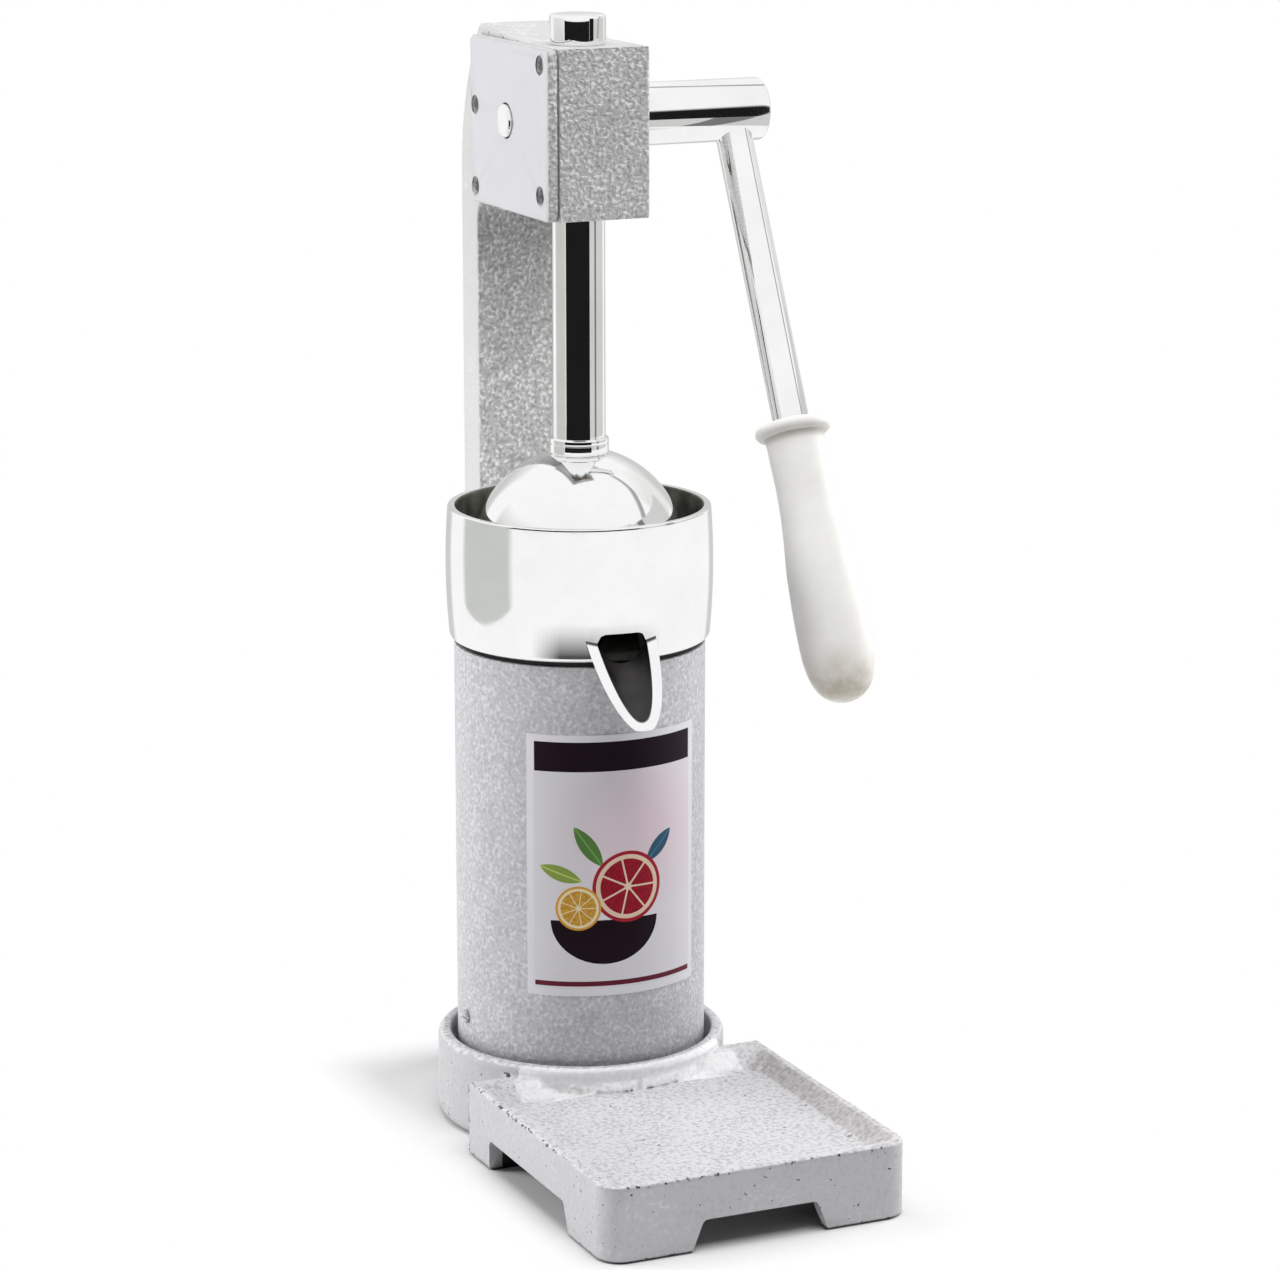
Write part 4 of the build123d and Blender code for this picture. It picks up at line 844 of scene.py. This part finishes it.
# Rod collar
# Turned steel, chromed, with a fine groove under its top edge. It is pressed on the foot of the rod.
chrome = (0.86, 0.93, 0.02, 0.06)
chrome_plate = polish_finish("chrome_plate", *chrome)[0]
rod_foot = 278.0
collar_radius = 11.75
groove_radius = 11.35
collar_profile = fillets((0.0, dome_top, 0), (11.1, dome_top, 0.3), (collar_radius, 272.0, 0.4),
                         (collar_radius, 275.2, 0.15), (groove_radius, 275.5, 0.1),
                         (collar_radius, 275.8, 0.15), (collar_radius, 277.4, 0.5), (11.0, rod_foot, 0.3),
                         (0.0, rod_foot, 0))
fitted(turned("rod_collar", collar_profile), "plunger", "chrome_plate", chrome_plate, "dome_collar")


# Rack rod
# A chromed steel bar with a flat on its back, in which the teeth of the rack are milled.
rod_radius = 10.5
rod_top = 431.4
rack_foot = 321.28
rack_top = 416.76
rack_tip = 6.5
rack_root = 3.25
rack_pitch = 1.5 * np.pi

# The spaces between the teeth are laid out from the height of the cross shaft.
shaft_centre = np.array((0.0, 21.56, 400.7))
space_middles = shaft_centre[2] + rack_pitch * np.arange(-16, 3)
space_shape = np.array(((-1.724, rack_tip), (-0.541, rack_root), (0.541, rack_root), (1.724, rack_tip)))
space_rows = np.stack([space_middles[:, None] + space_shape[:, 0],
                       np.broadcast_to(space_shape[:, 1], (len(space_middles), 4))], -1).reshape(-1, 2)
rod_rows = np.concatenate([[(rod_foot, rod_radius), (rack_foot, rod_radius), (rack_foot, rack_tip)],
                           space_rows,
                           [(rack_top, rack_tip), (rack_top, rod_radius), (rod_top, rod_radius)]])
tip_turn, root_turn = np.arcsin(np.array((rack_tip, rack_root)) / rod_radius)
rod_turns = np.concatenate([np.linspace(root_turn, tip_turn, 8)[:-1],
                            np.linspace(tip_turn, np.pi - tip_turn, 40)[:-1],
                            np.linspace(np.pi - tip_turn, np.pi - root_turn, 8)[:-1],
                            np.linspace(np.pi - root_turn, 2 * np.pi + root_turn, 90)[:-1]])


def rod_surface(rows, turns):
    """The bar cut back to a depth at each row: a circle whose points never lie behind that depth."""
    height, depth = rows.T[:, :, None]
    behind = np.minimum(rod_radius * np.sin(turns), depth)
    sideways = np.broadcast_to(rod_radius * np.cos(turns), behind.shape)
    return np.stack([sideways, behind, np.broadcast_to(height, behind.shape)], -1)


rod_ends = np.zeros((2, len(rod_turns), 3))
rod_ends[:, :, 2] = np.array(((rod_foot,), (rod_top,)))
rod_points = np.concatenate([rod_ends[:1], rod_surface(rod_rows, rod_turns), rod_ends[1:]])
rod_skin = skin("chromed_rod", rod_points, grid_quads(len(rod_points), len(rod_turns), False, True))
fitted(rod_skin, "plunger", "chrome_plate", chrome_plate, "rack_rod")


# Stop cap
# A chromed button screwed on top of the rod. It stops the stroke when it comes down on the head.
cap_top = 443.0
cap_radius = 11.0
cap_profile = fillets((0.0, rod_top, 0), (cap_radius, rod_top, 0.4), (cap_radius, cap_top, 1.2),
                      (0.0, cap_top, 0))
fitted(turned("rod_cap", cap_profile), "plunger", "chrome_plate", chrome_plate, "stop_cap")


# Cross shaft
# Chromed steel, turned in steps. It carries the pinion, its key and a spring ring between the bushes.
shaft_along = (1.0, 0.0, 0.0)
shaft_radius = 12.5
shaft_left = -22.8
shaft_right = 88.0
shaft_profile = fillets((0.0, shaft_left, 0), (6.5, shaft_left, 0.8), (6.5, -14.8, 0.2), (9.0, -14.8, 0.3),
                        (9.0, 10.0, 0.2), (shaft_radius, 10.0, 0.3), (shaft_radius, shaft_right, 0.8),
                        (0.0, shaft_right, 0))
shaft_chrome = polish_finish("shaft_chrome", *chrome, shaft_centre, shaft_along)[0]
fitted(turned("chromed_shaft", shaft_profile, 128, shaft_centre, shaft_along), "lever", "chrome_plate",
       shaft_chrome, "cross_shaft")

gear_steel, tree, shader = new_finish("gear_steel", Metallic=1.0)
grease = noise(tree, 130.0, 4.0, 0.6)
feed(shader, Base_Color=tones(grease, (0.35, (0.10, 0.09, 0.07)), (0.6, (0.40, 0.39, 0.38))),
     Roughness=fade(grease, 0.3, 0.7, 0.2, 0.5))
coat(gear_steel, "pinion", "pinion_key")
coat(zinc_steel, "pinion_circlip")


# Lever
# A chromed bar, cut to a saddle and welded to the end of the cross shaft.
lever_lean = np.radians(26.5)
lever_side = 75.0
lever_centre = shaft_centre + (lever_side, 0.0, 0.0)
lever_along = np.array((0.0, -np.sin(lever_lean), -np.cos(lever_lean)))
lever_radius = 7.25
lever_end = 228.3
weld_bite = 0.3
lever_first, lever_second = round_basis(lever_along)
lever_turns = np.linspace(0, 2 * np.pi, 96, endpoint=False)
saddle = np.sqrt(shaft_radius ** 2 - (lever_radius * np.sin(lever_turns)) ** 2) - weld_bite
lever_radii = np.array((0.0, lever_radius, lever_radius, lever_radius, lever_radius, 0.0))
lever_places = np.repeat([[5.0], [0.0], [40.0], [130.0], [lever_end], [lever_end]], len(lever_turns), 1)
lever_places[1] = saddle
lever_ring = np.cos(lever_turns)[:, None] * lever_first + np.sin(lever_turns)[:, None] * lever_second
lever_points = lever_centre + lever_places[..., None] * lever_along + lever_radii[:, None, None] * lever_ring
lever_chrome = polish_finish("lever_chrome", *chrome, lever_centre, tuple(lever_along))[0]
lever_skin = skin("chromed_lever", lever_points, grid_quads(len(lever_points), len(lever_turns), False, True))
fitted(lever_skin, "lever", "chrome_plate", lever_chrome, "lever_rod")

# It stays out of the polish of the other pieces, where it would show as a dark streak, and so does the grip.
lever_skin.visible_glossy = False


# Grip
# Moulded in cream plastic with a flange at its top and a swelling towards its end, and pressed on the lever.
# A fine seam runs round its middle, and hands have left it yellow at the lower end.
def swept_curve(*knots, steps):
    """A smooth curve of cubic pieces through knots, each a (radius, distance) point and its tangent."""
    share = np.linspace(0, 1, steps, endpoint=False)[:, None]
    rise = 3 * share ** 2 - 2 * share ** 3
    pieces = []
    for (start, leave), (end, arrive) in zip(knots[:-1], knots[1:]):
        start, leave, end, arrive = (np.asarray(part, float) for part in (start, leave, end, arrive))
        pieces.append((1 - rise) * start + (share ** 3 - 2 * share ** 2 + share) * leave
                      + rise * end + (share ** 3 - share ** 2) * arrive)
    return np.concatenate([*pieces, np.asarray(knots[-1][0], float)[None]])


flange_core = 12.5
flange_round = 2.5
flange = arc((flange_core, flange_round), flange_round, np.linspace(-np.pi / 2, np.pi / 2, 13))
waist = swept_curve(((flange_core, 2 * flange_round), (-3.0, 0.0)), ((11.45, 11.0), (0.0, 9.0)),
                    steps=20)[1:-1]
swell = swept_curve(((11.45, 11.0), (0.0, 18.0)), ((11.2, 29.0), (0.4, 18.0)), ((12.2, 46.0), (1.7, 17.0)),
                    ((13.8, 63.0), (0.9, 18.0)), ((14.4, 84.0), (0.0, 21.0)), steps=28)[:-1]
nose = swept_curve(((14.4, 84.0), (0.0, 25.0)), ((11.0, 106.5), (-10.0, 18.5)), steps=32)[:-1]
end_cap = swept_curve(((11.0, 106.5), (-6.3, 11.6)), ((0.0, 113.0), (-14.0, 0.0)), steps=20)
grip_side = np.concatenate([waist, swell, nose, end_cap])
seam_place = 46.0
seam_depth = 0.06
seam_width = 0.5
grip_side[:, 0] -= seam_depth * np.exp(-((grip_side[:, 1] - seam_place) / seam_width) ** 2)
grip_profile = np.concatenate([[(0.0, 0.0)], flange, grip_side])
grip_start = 131.3
grip_centre = lever_centre + grip_start * lever_along
cream_plastic, tree, shader = new_finish("cream_plastic")
place = place_group(tree, axis_place, Point=tuple(grip_centre * mm), Direction=tuple(lever_along))
cloud = noise(tree, 70.0, 4.0, 0.6)
grip_tone = tones(cloud, (0.35, (0.82, 0.81, 0.785)), (0.65, (0.86, 0.855, 0.83)))
grime_and_contact_shade = times(fade(place["Along"], 90 * mm, 110 * mm), fade(cloud, 0.38, 0.66))
grip_tone = over(grip_tone, grime_and_contact_shade, (0.52, 0.46, 0.34))
# A band just under the flange is painted darker, as painted shade under the flange.
below_flange_shade = calc("ABSOLUTE", calc("SUBTRACT", place["Along"], 6 * mm))
grip_tone = over(grip_tone, fade(below_flange_shade, 2.5 * mm, 0.5 * mm, 0.0, 0.7), (0.50, 0.47, 0.42))
feed(shader, Base_Color=grip_tone, Roughness=fade(cloud, 0.3, 0.7, 0.28, 0.42),
     Normal=bumps(noise(tree, 650.0, 2.0), 0.02 * mm))
grip = fitted(turned("turned_grip", grip_profile, 128, grip_centre, tuple(lever_along)), "lever",
              "cream_plastic", cream_plastic, "lever_grip")
grip.visible_glossy = False


# Studio
# A pale floor that fades into white close to the feet, soft boxes on both sides and above, a soft spot on the
# column, and black and grey cards that stand round the juicer and show only in its polish.
def white_paths(tree):
    """1 for rays from the camera and from gloss, which see a white room."""
    path = add(tree, "LightPath").outputs
    return calc("MAXIMUM", path["Is Camera Ray"], path["Is Glossy Ray"])


def mix_surface(share, first, second):
    """Makes a mix of two shaders the surface of a material."""
    tree = share.id_data
    mixed = add(tree, "MixShader", Fac=share)
    plug(first.outputs[0], mixed.inputs[1])
    plug(second.outputs[0], mixed.inputs[2])
    plug(mixed.outputs[0], tree.nodes["Material Output"].inputs["Surface"])


floor_reach = 6.0
floor_corners = np.array(((-1, -1, 0), (1, -1, 0), (1, 1, 0), (-1, 1, 0))) * floor_reach
floor_mesh = bpy.data.meshes.new("studio_floor")
floor_mesh.from_pydata(floor_corners.tolist(), [], [(0, 1, 2, 3)])
floor = in_scene("studio_floor", floor_mesh)
floor_white, tree, shader = new_finish("floor_white", Base_Color=(0.8, 0.8, 0.8, 1.0), Roughness=0.9,
                                       Specular_IOR_Level=0.0)
foot_middle, foot_half = box_mm((0, -42, 0), (60, 122, 0))
offset = arrow("ABSOLUTE", arrow("SUBTRACT", own(tree), foot_middle))
outside = arrow("MAXIMUM", arrow("SUBTRACT", offset, foot_half), (0.0, 0.0, 0.0))
from_foot = arrow("LENGTH", outside)
clear = times(fade(from_foot, 2 * mm, 25 * mm), white_paths(tree))
mix_surface(clear, shader, add(tree, "Emission", Strength=1.0))
floor_mesh.materials.append(floor_white)

world = bpy.data.worlds.new("studio")
bpy.context.scene.world = world
world.use_nodes = True
tree = world.node_tree
ambient = 0.12
feed(tree.nodes["Background"], Color=(1.0, 1.0, 1.0, 1.0),
     Strength=fade(white_paths(tree), 0.0, 1.0, ambient, 1.0))


def posed(holder, place, away):
    """Sets a lamp or camera at a place, looking back along a direction, with its top upwards."""
    away = np.asarray(away, float) / np.linalg.norm(away)
    across = np.cross((0, 0, 1), away)
    across = across / np.linalg.norm(across)
    pose = np.eye(4)
    pose[:3] = np.stack([across, np.cross(away, across), away, place], 1)
    bpy.context.scene.collection.objects.link(holder)
    holder.matrix_world = Matrix(pose.tolist())
    return holder


def new_lamp(name, kind, power, place, aim):
    """A lamp at a place, in metres, that faces an aim and stays out of the polish."""
    lamp = bpy.data.lights.new(name, kind)
    lamp.energy = power
    posed(bpy.data.objects.new(name, lamp), place, np.subtract(place, aim)).visible_glossy = False
    return lamp


box_aim = (0.0, 0.0, 0.2)
for name, place, width, height, power in (("left_box", (-1.43, 1.0, 0.6), 1.0, 1.3, 35.0),
                                          ("right_box", (1.7, 0.2, 0.52), 1.0, 1.3, 25.0),
                                          ("top_box", (0.1, -0.55, 1.85), 1.4, 1.4, 32.0)):
    soft_box = new_lamp(name, "AREA", power, place, box_aim)
    soft_box.shape = "RECTANGLE"
    soft_box.size = width
    soft_box.size_y = height

column_spot = new_lamp("column_spot", "SPOT", 34.0, (-0.5, -1.03, 0.54), (0.0, 0.065, 0.258))
column_spot.spot_size = np.radians(8.0)
column_spot.spot_blend = 1.0
column_spot.shadow_soft_size = 0.05
card_columns = 33


def bent(reach, start, end):
    """A path round the juicer at a reach in millimetres, between two bearings in degrees from the front."""
    bearing = np.radians(np.linspace(start, end, card_columns))
    return reach * np.stack([np.sin(bearing), -np.cos(bearing)], -1)


def shine_card(name, path, foot, top, tone, bow=0.0, soft_ends=0.01, soft_top=1.0):
    """An upright card along a path, in millimetres, that shows on the side to the left of the path. Its foot
    bows up at its ends, its ends fade over some steps of the path, and its top fades over a height."""
    lower = foot + bow * np.linspace(-1, 1, len(path)) ** 2
    upper = np.broadcast_to(top, len(path))
    heights = np.stack([lower, upper - soft_top, upper])
    points = np.concatenate([np.stack([path] * 3), heights[:, :, None]], -1) * mm
    mesh = bpy.data.meshes.new(name)
    faces = grid_quads(3, len(path), False, False).reshape(-1, 4)
    mesh.from_pydata(points.reshape(-1, 3).tolist(), [], faces.tolist())
    step = np.arange(len(path)) + 0.01
    shown = np.clip(np.minimum(step, step[::-1]) / soft_ends, 0, 1) * np.array(((1.0,), (1.0,), (0.0,)))
    mesh.attributes.new("shown", "FLOAT", "POINT").data.foreach_set("value", shown.ravel())
    card = in_scene(name, mesh)
    material, tree, shader = new_finish(name)
    tree.nodes.remove(shader)
    solid = times(add(tree, "NewGeometry").outputs["Backfacing"],
                  add(tree, "Attribute", attribute_name="shown").outputs["Fac"])
    mix_surface(solid, add(tree, "BsdfTransparent"), add(tree, "Emission", Color=(*tone, 1.0)))
    material.cycles.emission_sampling = "NONE"
    mesh.materials.append(material)
    card.visible_camera = False
    card.visible_diffuse = False
    card.visible_shadow = False


black = (0.012, 0.012, 0.012)
pale = (0.66, 0.66, 0.65)
for name, reach, foot, top in (("rod", 200, 243, 345), ("head", 500, 234, 450)):
    shine_card(name + "_card", bent(reach, -78, 24), foot, top, black)
    shine_card(name + "_side_card", bent(reach, 24, 100), foot, top, pale)
shine_card("collar_card", bent(140, -78, 24), 247.4, 260, black)
shine_card("rod_line_card", bent(198, 47, 56), 243, 345, (0.2, 0.2, 0.2))
shine_card("bar_card", bent(498, 25, 43), 234, 545, black, soft_top=60.0)
arc_bearings = (55, 59, 66, 75, 87, 95, 106, 125, 141)
arc_middles = (334, 370, 428, 495, 567, 640, 735, 806, 790)
arc_heights = np.interp(np.linspace(55, 141, card_columns), arc_bearings, arc_middles)
shine_card("dome_arc_card", bent(300, 55, 141), arc_heights - 36, arc_heights + 44, (0.4, 0.4, 0.4),
           soft_ends=2, soft_top=30.0)
shine_card("front_card", bent(300, -64, 46), 1, 132, (0.08, 0.08, 0.08), soft_ends=7, soft_top=40.0)
shine_card("left_card", bent(500, -139, -79), 65, 560, (0.60, 0.62, 0.58), 31.0, soft_ends=3, soft_top=260.0)
shine_card("right_card", bent(600, 80, 125), 330, 900, (0.84, 0.84, 0.82), soft_ends=6, soft_top=300.0)
shine_card("back_card", bent(500, 116, 200), 20, 640, (0.64, 0.64, 0.63), soft_ends=3, soft_top=260.0)

view_turn = np.radians(-24.5)
view_dip = np.radians(13.2)
target = np.array((26.4, 0.0, 194.8)) * mm
stand_off = 1.6847
level_away = np.array((np.sin(view_turn), -np.cos(view_turn), 0.0))
away = np.cos(view_dip) * level_away + np.sin(view_dip) * straight_up
lens = bpy.data.cameras.new("camera")
lens.sensor_fit = "HORIZONTAL"
lens.sensor_width = 36.0
lens.lens = 118.2
bpy.context.scene.camera = posed(bpy.data.objects.new("camera", lens), target + stand_off * away, away)
bpy.context.scene.view_settings.view_transform = "Standard"
